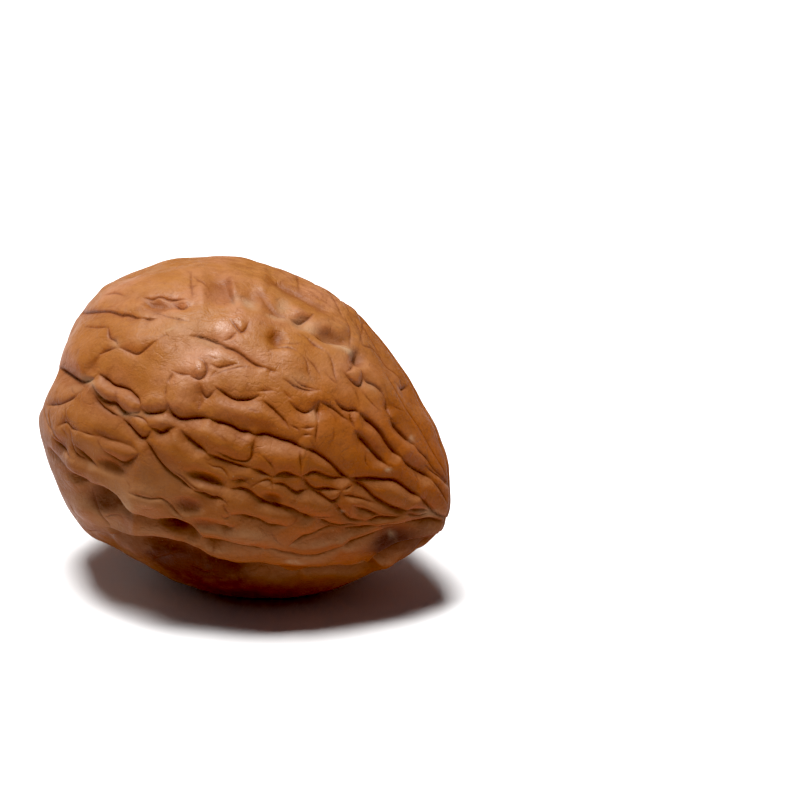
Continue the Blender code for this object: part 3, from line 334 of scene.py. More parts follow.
# The hidden half's furrows, in degrees from the tip and round the long axis. Long wavy lines run
# from tip to base end in broken runs. Short links join each to the next.
SEED = 11
GROWN_LINES = 12
GROWN_SPAN = (188.0, 352.0)
GROWN_START = (9, 26)
GROWN_END = (150, 170)
GROWN_STEP = 4.0
GROWN_WAVES = ((5.2, 95.0), (2.8, 41.0))
WAVE_SPREAD = (0.8, 1.25)
RUN_STEPS = (5, 13)
LEFT_OVER_STEPS = 3
BREAK_CHANCE = 0.35
RUN_STYLES = ("deep", "furrow", "furrow", "crease")
GROWN_LINKS = 6
LINK_MARGIN = (3, 5)
LINK_LEAN = (5, 14)
LINK_BOW = (3, 1.5)
LINK_STYLES = ("furrow", "crease", "crease", "crack")

# Short cracks between them, and the wrinkles that run into the base end
GROWN_CRACKS = 46
CRACK_FROM_TIP = (25, 155)
CRACK_STEP = (3, 7)
CRACK_SWEEP = (-3, 3)
CRACK_STYLES = ("crack", "crack", "line")
BASE_LINES = 9
BASE_SHIFT = (-0.25, 0.25)
BASE_SWEEP = (-14, 14)
BASE_FROM_TIP = (172, 163, 154, 145)
BASE_FROM_TIP_SHIFT = (-2, 2)
BASE_STYLES = ("furrow", "crease")
GROWN_PATH_STEP = 1.0
HIDDEN_FACING = 0.04
SHORTEST_RUN = 4

# Lumps all over: height in millimetres and size in millimetres
LUMPS = ((0.25, 7.5), (0.22, 3.4), (0.07, 1.5))

# Patches of colour, painted shade and gloss on the sketch, laid out as the dents, with a strength
# at the end
PATCHES = {
    # Pale dust in the shallow dents
    "dust": (
        (250, 303, 10, 7, 40, 0.9), (284, 304, 8, 7, 30, 0.6), (305, 323, 14, 6, 20, 0.9),
        (337, 345, 17, 4, 20, 0.8), (350, 352, 6, 4, 20, 0.8), (278, 316, 10, 3, 10, 0.8),
        (235, 300, 5, 8, 10, 0.5), (314, 415, 4, 6, 0, 0.9), (88, 381, 5, 3, 0, 0.7),
        (100, 396, 10, 3, 40, 0.4), (372, 385, 11, 5, 30, 0.5), (124, 503, 5, 9, 0, 0.4),
        (295, 564, 10, 2, 5, 0.6), (180, 326, 40, 12, 10, 0.25), (300, 380, 14, 8, 10, 0.3),
        (116, 344, 6, 6, 0, 0.4), (84, 379, 8, 4, 20, 0.6), (92, 384, 4, 7, -20, 0.5),
        (72, 388, 7, 4, 0, 0.35), (120, 413, 9, 3, 30, 0.5), (136, 414, 16, 3, 5, 0.5),
        (160, 418, 12, 3, 10, 0.3), (210, 342, 20, 4, 15, 0.4), (168, 329, 3, 2, 0, 0.9),
        (390, 470, 3, 2.5, 0, 0.9), (413, 438, 2, 3, 0, 0.7), (344, 513, 2, 2, 0, 0.7),
        (89, 467, 5, 3, 40, 0.4), (372, 449, 4, 2, 10, 0.5), (128, 503, 6, 8, 0, 0.3),
        (430, 513, 12, 5, 5, 0.5), (110, 495, 34, 24, 30, 0.28), (394, 538, 3, 5, -30, 0.5),
        (150, 505, 30, 16, 12, 0.16), (345, 345, 26, 16, 30, 0.26), (160, 478, 30, 16, 20, 0.16),
        (90, 450, 14, 10, 0, 0.16), (255, 540, 40, 8, 8, 0.16), (110, 528, 20, 8, 30, 0.25),
        (150, 536, 16, 5, 10, 0.25),
    ),
    # Waxy glints on the crowns of small lumps
    "gloss": (
        (238, 322, 8, 6, 30, 1.0), (221, 324, 10, 8, -40, 1.0), (200, 368, 6, 9, 0, 1.0),
        (215, 353, 8, 5, 10, 0.8), (234, 360, 8, 3, 10, 0.8), (355, 372, 6, 9, 0, 0.5),
    ),
    # A deeper ochre
    "ochre": (
        (150, 382, 16, 9, 25, 0.7), (92, 353, 12, 9, 40, 0.5), (215, 290, 16, 16, 0, 0.5),
        (260, 325, 26, 12, 30, 0.5), (272, 338, 12, 8, 0, 0.6), (160, 303, 14, 4, 5, 0.6),
        (120, 335, 20, 8, 0, 0.5), (130, 400, 12, 8, 10, 0.6), (115, 425, 22, 12, 20, 0.6),
        (175, 440, 22, 8, 28, 0.8), (205, 440, 20, 8, 20, 0.3), (150, 425, 12, 6, 0, 0.5),
        (340, 450, 30, 16, 20, 0.6), (385, 360, 12, 40, -40, 0.6), (410, 400, 10, 40, -30, 0.6),
        (315, 465, 22, 7, 25, 0.8), (255, 475, 28, 6, 20, 0.4), (315, 507, 18, 8, 10, 0.7),
        (275, 514, 22, 6, 10, 0.8), (400, 495, 22, 9, 30, 0.6), (235, 503, 16, 6, 0, 0.5),
        (125, 452, 14, 7, 10, 0.6), (110, 475, 16, 6, 10, 0.5), (140, 480, 16, 10, 0, 0.4),
    ),
    # Painted shade: a deep orange brown darkening the downward-facing lower band, and patches of
    # shade higher up
    "under": (
        (165, 560, 36, 9, 16, 1.0), (112, 540, 26, 8, 28, 0.35), (180, 566, 26, 10, 14, 0.5),
        (95, 508, 10, 5, 30, 0.5), (128, 520, 12, 4, 25, 0.5), (215, 582, 60, 18, 10, 1.0),
        (300, 590, 60, 12, -4, 0.55), (352, 577, 30, 7, -18, 0.2), (374, 563, 14, 5, -25, 0.35),
        (228, 574, 20, 7, 10, 0.4), (400, 541, 26, 9, -18, 0.75), (426, 528, 14, 6, -22, 0.25),
        (150, 470, 30, 22, 20, 0.24), (70, 450, 12, 12, 0, 0.18), (108, 431, 14, 8, 10, 0.24),
        (232, 440, 14, 7, 25, 0.12), (250, 480, 14, 4, 5, 0.4), (170, 441, 11, 6, 30, 0.22),
        (402, 418, 8, 18, -35, 0.3), (388, 396, 4, 14, -20, 0.22), (200, 500, 16, 7, 10, 0.25),
        (415, 550, 26, 6, -38, 0.6), (388, 546, 22, 9, -15, 0.8),
    ),
}

# The meshes: how often each sphere's faces are split, and the most faces kept
ICOSPHERE_LEVEL = 8
SMOOTH_LEVEL = 6
MOST_FACES = 194000

# The shell's colours, as linear red, green and blue
TAN = (0.264, 0.106, 0.028, 1)
PINK = (0.300, 0.126, 0.054, 1)
GOLDEN = (0.250, 0.095, 0.020, 1)
# Painted shade: darker tans for the sides and the underside, which face away from the overhead
# light
SIDE_SHADE_TAN = (0.220, 0.073, 0.015, 1)
LOW_SHADE_TAN = (0.180, 0.055, 0.012, 1)
OCHRE_BROWN = (0.185, 0.058, 0.008, 1)
# Painted shade: the near-black brown of the lower band and other shaded patches
UNDER_SHADE_BROWN = (0.043, 0.007, 0.001, 1)
# Painted shade: a patchy darker brown on the shoulders of the furrows
FURROW_SHADE_BROWN = (0.165, 0.044, 0.008, 1)
# A dark brown for the shell's own streaks, stripes and grain, and for painted shade in furrows,
# creases, dents and along the dark lines
STREAK_AND_SHADE_BROWN = (0.088, 0.016, 0.003, 1)
# Painted sheen: a paler tan on faces that turn up towards the light more than the body does
UPFACING_SHEEN_TAN = (0.272, 0.134, 0.060, 1)
# Painted shade: a redder, darker multiplier for faces that turn down
DOWNFACING_SHADE = (1.0, 0.76, 0.55, 1)
# Painted shade: darkens the tip half where it faces sideways or down
TIP_SIDE_SHADE = (0.97, 0.74, 0.46, 1)
DUST_BEIGE = (0.355, 0.228, 0.130, 1)

# What the mesh marks at each point for the material
MARKS = ("furrow", "line", "hollow", "band", "up", "tip", "dust", "gloss", "ochre", "under", "lip")

# Noise in the shell: size in millimetres, detail, roughness, and the scale along the nut, which
# draws it out where it is below 1
NOISES = {
    "patches": (6.0, 3.0, 0.50, 1),
    "tone": (2.6, 2.0, 0.50, 1),
    "mottle": (1.6, 5.0, 0.62, 1),
    "skin": (0.8, 4.0, 0.65, 1),
    "grain": (0.25, 3.0, 0.60, 1),
    "streaks": (0.7, 3.0, 0.60, 0.15),
    "stripes": (0.35, 2.0, 0.50, 0.15),
}

# Nets of fine creases: size of a cell in millimetres, and width as a share of it. The bend is
# the size and detail of the noise that makes them crooked.
CREASES = {"creases": (2.6, 0.07), "small creases": (1.1, 0.10)}
CREASE_SCALE = 0.6
CREASE_BEND = (1.5, 3.0)

# How noise breaks up creases and marks, in order: what changes, how, by which noise, the range
# of the noise that counts, and what its ends add or multiply by
BROKEN_UP = (
    ("creases", "MULTIPLY", "mottle", 0.42, 0.60, 0.0, 1.0),
    ("small creases", "MULTIPLY", "patches", 0.58, 0.40, 0.0, 0.5),
    ("up", "ADD", "patches", 0.30, 0.70, -0.15, 0.15),
    ("ochre", "ADD", "mottle", 0.50, 0.70, 0.0, 0.5),
    ("ochre", "MULTIPLY", "patches", 0.70, 0.35, 0.4, 1.0),
    ("furrow", "ADD", "skin", 0.30, 0.70, -0.08, 0.08),
    ("under", "MULTIPLY", "mottle", 0.30, 0.60, 0.7, 1.0),
    ("dust", "MULTIPLY", "mottle", 0.35, 0.60, 0.3, 1.0),
    ("dust", "ADD", "grain", 0.66, 0.74, 0.0, 0.30),
)

# Coats of colour over the tan, in order: colour, way of mixing, and what the coat's share
# follows, with the range that counts and the shares at its ends. Many are painted shade or sheen.
COATS = (
    (PINK, "MIX", ("patches", 0.40, 0.60)),
    (GOLDEN, "MIX", ("tone", 0.46, 0.62, 0.0, 0.7)),
    # Painted shade: darker towards the sides and the underside, by which way the body faces
    (SIDE_SHADE_TAN, "MIX", ("up", 0.85, 0.25)),
    (LOW_SHADE_TAN, "MIX", ("up", 0.20, -0.30)),
    # Painted shade on the tip half, where it does not face up
    (TIP_SIDE_SHADE, "MULTIPLY", ("tip", 0.02, 0.62), ("up", 0.85, 0.50)),
    (OCHRE_BROWN, "MIX", ("ochre", 0.0, 1.0, 0.0, 0.8)),
    # Painted sheen on faces turned up, painted shade on faces turned down
    (UPFACING_SHEEN_TAN, "MIX", ("lip", 0.08, 0.42, 0.0, 0.68)),
    (DOWNFACING_SHADE, "MULTIPLY", ("lip", -0.06, -0.40, 0.0, 0.95)),
    (STREAK_AND_SHADE_BROWN, "MIX", ("streaks", 0.40, 0.70, 0.0, 0.08)),
    # Painted shade along the net of fine creases
    (STREAK_AND_SHADE_BROWN, "MIX", ("creases", 0.0, 1.0, 0.0, 0.20)),
    (STREAK_AND_SHADE_BROWN, "MIX", ("stripes", 0.45, 0.62, 0.0, 0.22), ("band", 0.0, 1.0)),
    (STREAK_AND_SHADE_BROWN, "MIX", ("grain", 0.45, 0.75, 0.0, 0.16)),
    (DUST_BEIGE, "MIX", ("furrow", 0.15, 0.40), ("mottle", 0.45, 0.65, 0.0, 0.14)),
    # Painted shade, patchy, along the furrows' shoulders
    (FURROW_SHADE_BROWN, "MIX", ("furrow", 0.02, 0.30, 0.0, 0.6), ("mottle", 0.35, 0.60, 0.5, 1.0)),
    # Painted shade: darker the deeper the furrow
    (STREAK_AND_SHADE_BROWN, "MIX", ("furrow", 0.22, 0.75, 0.0, 0.42)),
    # Painted shade in the dents, stronger where they face down
    (STREAK_AND_SHADE_BROWN, "MIX", ("hollow", 0.10, 0.60), ("up", 0.90, 0.50, 0.45, 0.85)),
    # Painted shade: the dark line in the bottom of each furrow and the seam
    (STREAK_AND_SHADE_BROWN, "MIX", ("line", 0.0, 1.0, 0.0, 0.75)),
    # Painted shade over the lower band and other shaded patches
    (UNDER_SHADE_BROWN, "MIX", ("under", 0.0, 1.0, 0.0, 0.98)),
    (DUST_BEIGE, "MIX", ("dust", 0.0, 1.0, 0.0, 0.68)),
)

# Roughness, shine and fine height, each the sum of what it follows over these ranges
ROUGHNESS = (
    ("skin", 0.3, 0.7, 0.42, 0.58),
    ("furrow", 0.2, 0.6, 0.0, 0.15),
    ("gloss", 0.0, 1.0, 0.0, -0.10),
    ("dust", 0.0, 1.0, 0.0, 0.25),
)
SHINE = (("up", 0.3, 1.0, 0.08, 0.22), ("gloss", 0.0, 1.0, 0.0, 0.12))
BUMP = (
    ("skin", 0.0, 1.0),
    ("grain", 0.0, 1.0, 0.0, 0.35),
    ("streaks", 0.0, 1.0, 0.0, 0.15),
    ("creases", 0.0, 1.0, 0.0, -0.35),
)
BUMP_STRENGTH = 0.55
BUMP_DISTANCE = 0.18

# The floor, the light and the camera, in metres
FLOOR_SIZE = 6.0
FLOOR_GAP = 0.0001
FLOOR_WHITE = (0.80, 0.80, 0.80, 1)
FLOOR_ROUGHNESS = 0.9
FLOOR_SHINE = 0.1
SKY_STRENGTH = 0.075
SKY_COLOUR = (1.08, 0.80, 0.82, 1)
SOFTBOX_SIZE = 0.80
SOFTBOX_POWER = 96.0
SOFTBOX_PLACE = (-0.22, -0.10, 2.0)
FILL_SIZE = 1.2
FILL_POWER = 4.0
FILL_PLACE = (-1.5, 0.6, 0.6)
BLACK_LEVEL = (0.010, 0.010, 0.010)
LENS = 135.0
SENSOR_WIDTH = 36.0
CLIP_START = 0.01


def body_points(sphere):
    """Turns points of a unit sphere into the smooth body, its long axis along x and tip at +x."""
    along = sphere[:, 0]
    radius = 1 + TAPER[0] * along + TAPER[1] * along**2 + TAPER[2] * along**3
    across = np.stack([HALF_THICKNESS * sphere[:, 1], HALF_WIDTH * sphere[:, 2]], 1)
    return np.column_stack([HALF_LENGTH * along, across * radius[:, None]])


def polar_points(places):
    """Points of the body from degrees from the tip and round the axis from the upper seam."""
    from_tip, around = np.radians(np.asarray(places, float)).T
    ring = np.sin(from_tip)
    sphere = np.column_stack([np.cos(from_tip), -ring * np.sin(around), ring * np.cos(around)])
    return body_points(sphere)


def lying_pose():
    """The turn from the body's own axes to the way it lies, and its lowest point."""
    roll, pitch = math.radians(ROLL), math.radians(PITCH)
    roll_turn = np.array(
        [[1, 0, 0], [0, math.cos(roll), math.sin(roll)], [0, -math.sin(roll), math.cos(roll)]]
    )
    pitch_turn = np.array(
        [[math.cos(pitch), 0, math.sin(pitch)], [0, 1, 0], [-math.sin(pitch), 0, math.cos(pitch)]]
    )
    turn = pitch_turn @ roll_turn
    around = np.degrees(math.atan2(HALF_THICKNESS * math.sin(roll), HALF_WIDTH * math.cos(roll)))
    from_tip = np.linspace(*UNDERSIDE_SPAN, UNDERSIDE_STEPS)
    underside = polar_points(np.column_stack([from_tip, np.full_like(from_tip, 180 + around)]))
    lying = underside @ turn.T
    return turn, lying[np.argmin(lying[:, 2])]


def sketch_frame():
    """The sketch's right, up and towards the eye, and the eye's place from the body's middle."""
    azimuth, elevation = math.radians(SKETCH_AZIMUTH), math.radians(SKETCH_ELEVATION)
    back = np.array(
        [
            math.sin(azimuth) * math.cos(elevation),
            -math.cos(azimuth) * math.cos(elevation),
            math.sin(elevation),
        ]
    )
    right = np.array([math.cos(azimuth), math.sin(azimuth), 0.0])
    up = np.cross(back, right)
    aside = (SKETCH_EYE[0] - SKETCH_NUT[0]) / SKETCH_SCALE
    above = (SKETCH_NUT[1] - SKETCH_EYE[1]) / SKETCH_SCALE
    eye = back * EYE_DISTANCE + right * aside + up * above
    return right, up, back, eye


def on_sketch_plane(places):
    """Sketch places as points of the sketch plane, from the body's middle."""
    right, up, _, _ = sketch_frame()
    places = np.asarray(places, float)
    aside = (places[:, 0] - SKETCH_NUT[0]) / SKETCH_SCALE
    above = (SKETCH_NUT[1] - places[:, 1]) / SKETCH_SCALE
    return aside[:, None] * right + above[:, None] * up


def seen_on_sketch(points):
    """Where the eye sees points of the body, as sketch places."""
    right, up, back, eye = sketch_frame()
    reach = EYE_DISTANCE / ((eye - points) @ back)
    seen = eye + (points - eye) * reach[:, None]
    return np.column_stack(
        [SKETCH_NUT[0] + seen @ right * SKETCH_SCALE, SKETCH_NUT[1] - seen @ up * SKETCH_SCALE]
    )


def smooth_path(points, step):
    """A curve through the points, with a point about every step."""
    points = np.asarray(points, float)
    padded = np.vstack([2 * points[0] - points[1], points, 2 * points[-1] - points[-2]])
    curve = [points[:1]]
    for index in range(len(points) - 1):
        before, start, end, after = padded[index : index + 4]
        count = max(2, int(np.linalg.norm(end - start) / step) + 1)
        t = np.linspace(0, 1, count + 1)[1:, None]
        curve.append(
            0.5
            * (
                2 * start
                + (end - before) * t
                + (2 * before - 5 * start + 4 * end - after) * t**2
                + (3 * start - before - 3 * end + after) * t**3
            )
        )
    return np.vstack(curve)


def drawn_paths(tree, turn):
    """The front half's furrows, from the sketch onto the body, as (style, points)."""
    _, _, _, eye = sketch_frame()
    paths = []
    for style, drawn in [(style, drawn) for style, group in FURROWS.items() for drawn in group]:
        path = smooth_path(np.reshape(drawn, (-1, 2)), PATH_STEP * SKETCH_SCALE)
        found = []
        for target in on_sketch_plane(path):
            hit = tree.ray_cast(Vector(eye), Vector(target - eye).normalized())[0]
            if hit is None:
                hit = tree.find_nearest(Vector(target))[0]
            found.append(hit)
        paths.append((style, np.array(found) @ turn))
    for style, *places in END_FURROWS:
        paths.append((style, polar_points(smooth_path(places, GROWN_PATH_STEP))))
    return paths


def grown_line(draw, start, first, last):
    """One wavy furrow from near the tip to near the base end, in degrees."""
    from_tip = np.arange(first, last, GROWN_STEP)
    around = np.full_like(from_tip, start)
    for height, length in GROWN_WAVES:
        wave = 2 * math.pi * (from_tip / (length * draw.uniform(*WAVE_SPREAD)) + draw.random())
        around += height * np.sin(wave)
    return np.column_stack([from_tip, around])


def grown_runs(draw, lines):
    """The long lines, broken into runs of one style each."""
    runs = []
    for line in lines:
        cut = 0
        while cut < len(line) - LEFT_OVER_STEPS:
            length = int(draw.integers(*RUN_STEPS))
            style = draw.choice(RUN_STYLES)
            runs.append((style, line[cut : cut + length + 1]))
            cut += length + int(draw.random() < BREAK_CHANCE)
    return runs


def grown_links(draw, lines):
    """The short furrows that join each long line to the next."""
    links = []
    for upper, lower in zip(lines, lines[1:]):
        for _ in range(GROWN_LINKS):
            start = upper[draw.integers(LINK_MARGIN[0], len(upper) - LINK_MARGIN[1])]
            lean = draw.uniform(*LINK_LEAN) * draw.choice([-1, 1])
            end = lower[np.argmin(abs(lower[:, 0] - start[0] - lean))]
            bow = np.array([draw.uniform(-side, side) for side in LINK_BOW])
            style = draw.choice(LINK_STYLES)
            links.append((style, np.array([start, (start + end) / 2 + bow, end])))
    return links


def grown_cracks(draw):
    cracks = []
    for _ in range(GROWN_CRACKS):
        start = np.array([draw.uniform(*CRACK_FROM_TIP), draw.uniform(*GROWN_SPAN)])
        middle = start + (draw.uniform(*CRACK_STEP), draw.uniform(*CRACK_SWEEP))
        end = middle + (draw.uniform(*CRACK_STEP), draw.uniform(*CRACK_SWEEP))
        cracks.append((draw.choice(CRACK_STYLES), np.array([start, middle, end])))
    return cracks


def base_wrinkles(draw):
    wrinkles = []
    for index in range(BASE_LINES):
        start = 360 * (index + draw.uniform(*BASE_SHIFT)) / BASE_LINES
        sweep = start + draw.uniform(*BASE_SWEEP, len(BASE_FROM_TIP)).cumsum()
        from_tip = np.array(BASE_FROM_TIP) + draw.uniform(*BASE_FROM_TIP_SHIFT)
        wrinkles.append((draw.choice(BASE_STYLES), np.column_stack([from_tip, sweep])))
    return wrinkles


def grown_places():
    """The furrows that grow by rule, as (style, degrees from the tip and round the axis)."""
    draw = np.random.default_rng(SEED)
    gap = (GROWN_SPAN[1] - GROWN_SPAN[0]) / GROWN_LINES
    lines = []
    for index in range(GROWN_LINES):
        start = GROWN_SPAN[0] + gap * (index + 0.5)
        first = draw.uniform(*GROWN_START)
        lines.append(grown_line(draw, start, first, draw.uniform(*GROWN_END)))
    places = grown_runs(draw, lines)
    places += grown_links(draw, lines)
    places += grown_cracks(draw)
    return places + base_wrinkles(draw)


def grown_paths(turn):
    """The grown furrows on the body, without what the sketch shows, as (style, points)."""
    _, _, _, eye = sketch_frame()
    eye_in_body = eye @ turn
    paths = []
    for style, places in grown_places():
        points = polar_points(smooth_path(places, GROWN_PATH_STEP))
        outward = points / np.array([HALF_LENGTH, HALF_THICKNESS, HALF_WIDTH]) ** 2
        outward /= np.linalg.norm(outward, axis=1)[:, None]
        sight = eye_in_body - points
        facing = np.einsum("ij,ij->i", outward, sight) / np.linalg.norm(sight, axis=1)
        hidden = facing < HIDDEN_FACING
        ends = np.flatnonzero(np.diff(np.concatenate([[0], hidden, [0]])))
        for first, last in ends.reshape(-1, 2):
            if last - first > SHORTEST_RUN:
                paths.append((style, points[first:last]))
    return paths


def carve(points, normals, paths):
    """How deep the furrows cut at each point, in millimetres, and how dark their painted shade
    lines are.
    """
    total = np.zeros(len(points))
    dark = np.zeros(len(points))
    for style, path in paths:
        depth, bottom, shoulder, lean, strength, width, _ = STYLES[style]
        reach = SHOULDER_REACH * shoulder
        near = np.flatnonzero(
            ((points > path.min(0) - reach) & (points < path.max(0) + reach)).all(1)
        )
        if not len(near):
            continue
        start, run = path[:-1], np.diff(path, axis=0)
        length = np.linalg.norm(run, axis=1)
        so_far = np.concatenate([[0], np.cumsum(length)])
        best = np.full(len(near), np.inf)
        side = np.zeros(len(near))
        where = np.zeros(len(near))
        here = points[near]
        for index in range(len(run)):
            offset = here - start[index]
            share = np.clip(offset @ run[index] / length[index] ** 2, 0, 1)
            away = offset - share[:, None] * run[index]
            distance = np.einsum("ij,ij->i", away, away)
            closer = distance < best
            best[closer] = distance[closer]
            where[closer] = so_far[index] + share[closer] * length[index]
            right_hand = np.cross(run[index] / length[index], normals[near[closer]])
            side[closer] = np.einsum("ij,ij->i", right_hand, away[closer])
        best = np.sqrt(best)
        below = np.clip(side / (0.5 * bottom), -1, 1)
        share = SHOULDER_SHARE * (1 + lean * below)
        valley = np.exp(-((best / bottom) ** BOTTOM_POWER))
        slope = np.exp(-((best / shoulder) ** SHOULDER_POWER))
        to_end = np.minimum(where, so_far[-1] - where)
        fade = END_DEPTH + (1 - END_DEPTH) * np.clip(to_end / END_FADE, 0, 1)
        total[near] += (depth * fade * ((1 - share) * valley + share * slope)) ** JOIN_POWER
        dark[near] = np.maximum(dark[near], strength * fade * np.exp(-((best / width) ** 2)))
    return total ** (1 / JOIN_POWER), dark


def swell(points, normals, turn, patches):
    """Soft patches drawn on the sketch: the height that each adds at each point."""
    _, _, _, eye = sketch_frame()
    lying = points @ turn.T
    sight = eye - lying
    facing = np.einsum("ij,ij->i", normals @ turn.T, sight) / np.linalg.norm(sight, axis=1)
    seen = seen_on_sketch(lying)
    height = np.zeros(len(points))
    for x, y, half_length, half_width, tilt, rise in patches:
        aside, below = (seen - (x, y)).T
        cosine, sine = math.cos(math.radians(tilt)), math.sin(math.radians(tilt))
        along = (aside * cosine + below * sine) / half_length
        across = (below * cosine - aside * sine) / half_width
        height += rise * np.exp(-((along**2 + across**2) ** SWELL_POWER))
    return height * np.clip(facing / SWELL_EDGE, 0, 1)


def outline_swell(points, tree, turn):
    """The low swells and hollows of the outline, in millimetres."""
    height = np.zeros(len(points))
    for x, y, reach, rise in OUTLINE:
        target = on_sketch_plane([(x, y)])[0]
        middle = np.array(tree.find_nearest(Vector(target))[0]) @ turn
        distance = np.linalg.norm(points - middle, axis=1)
        height += rise * np.exp(-((distance / reach) ** 2))
    return height


def lumps(points):
    """Low lumps all over, in millimetres."""
    height = np.zeros(len(points))
    for rise, size in LUMPS:
        height += rise * np.array([noise.noise(Vector(point / size)) for point in points])
    return height


def span_share(values, low, high):
    """How far each value has come from low, 0, to high, 1."""
    return np.clip((values - low) / (high - low), 0, 1)


def relief(points, normals, tree, turn, lowest, drawn, grown):
    """Height of the shell over the smooth body at each point, and what the material reads there."""
    off_seam = np.abs(points[:, 1])
    keel = KEEL_HEIGHT * np.exp(-((off_seam / KEEL_REACH) ** 2))
    seam = SEAM_DEPTH * np.exp(-((off_seam / SEAM_WIDTH) ** 2))
    to_tip = np.linalg.norm(points - [HALF_LENGTH, 0, 0], axis=1)
    nib = TIP_NIB_HEIGHT * np.exp(-((to_tip / TIP_NIB_REACH) ** 2))
    beside = span_share(off_seam, *SMOOTH_BAND)
    grown, grown_lines = carve(points, normals, grown)
    drawn, drawn_lines = carve(points, normals, drawn)
    grown *= beside
    swells = swell(points, normals, turn, SWELLS)
    low = swells + outline_swell(points, tree, turn) + lumps(points)
    to_spot = np.linalg.norm(points @ turn.T - lowest, axis=1)
    open_air = span_share(to_spot, *FLAT_SPOT_CLEAR)
    height = (keel - seam + nib - grown - drawn + low) * open_air
    # The dark lines are painted shade in the bottoms of the furrows and the seam
    lines = np.maximum.reduce([grown_lines * beside, drawn_lines, SEAM_LINE * seam])
    marks = {
        "furrow": (np.maximum(grown, drawn) + seam) * open_air,
        "line": lines * open_air,
        "hollow": np.clip(-swells, 0, None),
        "band": 1 - span_share(off_seam, *STRIPED_BAND),
        "up": (normals @ turn.T)[:, 2],
        "tip": points[:, 0] / HALF_LENGTH,
    }
    for name, patches in PATCHES.items():
        marks[name] = swell(points, normals, turn, patches)
    return height, marks


def near_furrows(places, paths):
    """Which of these places on the body lie close enough to a furrow to need a finer mesh."""
    trail = np.vstack([path for _, path in paths])
    reach = np.concatenate([np.full(len(path), STYLES[style][-1]) for style, path in paths])
    tree = KDTree(len(trail))
    for index, place in enumerate(trail):
        tree.insert(place, index)
    tree.balance()
    found = np.zeros(len(places), bool)
    for index, place in enumerate(places):
        _, nearest, distance = tree.find(place)
        found[index] = distance < reach[nearest]
    return found


def fine_sphere(paths):
    """A unit sphere of small triangles, smaller still along the furrows."""
    sphere = bmesh.new()
    bmesh.ops.create_icosphere(sphere, subdivisions=ICOSPHERE_LEVEL, radius=1.0)
    edges = list(sphere.edges)
    middles = np.array([(edge.verts[0].co + edge.verts[1].co) / 2 for edge in edges], float)
    near = near_furrows(body_points(middles), paths)
    chosen = [edge for edge, wanted in zip(edges, near) if wanted]
    bmesh.ops.subdivide_edges(sphere, edges=chosen, cuts=1, use_grid_fill=True)
    bmesh.ops.triangulate(sphere, faces=[face for face in sphere.faces if len(face.verts) > 3])
    for vert in sphere.verts:
        vert.co.normalize()
    return sphere


def shell_mesh():
    """The nut as one fine closed mesh, lying, with its marks for the material."""
    turn, lowest = lying_pose()
    smooth = bmesh.new()
    bmesh.ops.create_icosphere(smooth, subdivisions=SMOOTH_LEVEL, radius=1.0)
    for vert in smooth.verts:
        vert.co = turn @ body_points(np.array([vert.co], float))[0]
    tree = BVHTree.FromBMesh(smooth)
    smooth.free()
    drawn, grown = drawn_paths(tree, turn), grown_paths(turn)
    sphere_mesh = fine_sphere(drawn + grown)
    points = body_points(np.array([vert.co for vert in sphere_mesh.verts], float))
    for vert, place in zip(sphere_mesh.verts, points @ turn.T):
        vert.co = place
    sphere_mesh.normal_update()
    normals = np.array([vert.normal for vert in sphere_mesh.verts], float) @ turn
    height, marks = relief(points, normals, tree, turn, lowest, drawn, grown)
    surface = (points + normals * height[:, None]) @ turn.T
    surface -= lowest + (0, 0, FLAT_SPOT_CUT)
    surface[:, 2] = np.maximum(surface[:, 2], 0)
    for vert, place in zip(sphere_mesh.verts, surface * METRES):
        vert.co = place
    mesh = bpy.data.meshes.new("walnut_shell_fine")
    sphere_mesh.to_mesh(mesh)
    sphere_mesh.free()
    return mesh, marks


def thinned(mesh):
    """The mesh with fewer faces, kept where it bends most."""
    helper = bpy.data.objects.new("thinned", mesh)
    bpy.context.scene.collection.objects.link(helper)
    decimate = helper.modifiers.new("faces", "DECIMATE")
    decimate.ratio = MOST_FACES / len(mesh.polygons)
    evaluated = helper.evaluated_get(bpy.context.evaluated_depsgraph_get())
    result = bpy.data.meshes.new_from_object(evaluated)
    bpy.data.objects.remove(helper)
    return result


def carry_marks(fine, thin, marks):
    """Gives the thin mesh the marks of its nearest fine points, one attribute each."""
    tree = KDTree(len(fine.vertices))
    for index, vert in enumerate(fine.vertices):
        tree.insert(vert.co, index)
    tree.balance()
    nearest = np.array([tree.find(vert.co)[1] for vert in thin.vertices])
    for name, values in marks.items():
        attribute = thin.attributes.new(name, "FLOAT", "POINT")
        attribute.data.foreach_set("value", values[nearest].astype(np.float32))


def lip_mark(thin):
    """Marks how much more the surface faces up than the smooth body does there; it drives the
    painted sheen and painted shade.
    """
    up = np.array([item.value for item in thin.attributes["up"].data])
    lip = np.array([vert.normal.z for vert in thin.vertices]) - up
    thin.attributes.new("lip", "FLOAT", "POINT").data.foreach_set("value", lip.astype(np.float32))


def feed(tree, socket, value):
    """Sets a socket, or links it where the value is another node's output."""
    if isinstance(value, bpy.types.NodeSocket):
        tree.links.new(value, socket)
    else:
        socket.default_value = value


def add_node(tree, kind, inputs=None, **settings):
    """A shader node with its settings and its inputs: numbers, colours or other outputs."""
    node = tree.nodes.new(kind)
    for name, value in settings.items():
        setattr(node, name, value)
    for name, value in (inputs or {}).items():
        feed(tree, node.inputs[name], value)
    return node


def noise_at(tree, where, size, detail, roughness=0.5):
    """A noise node whose features are about size millimetres."""
    inputs = {"Vector": where, "Scale": 1 / (size * METRES), "Detail": detail}
    return add_node(tree, "ShaderNodeTexNoise", {**inputs, "Roughness": roughness})


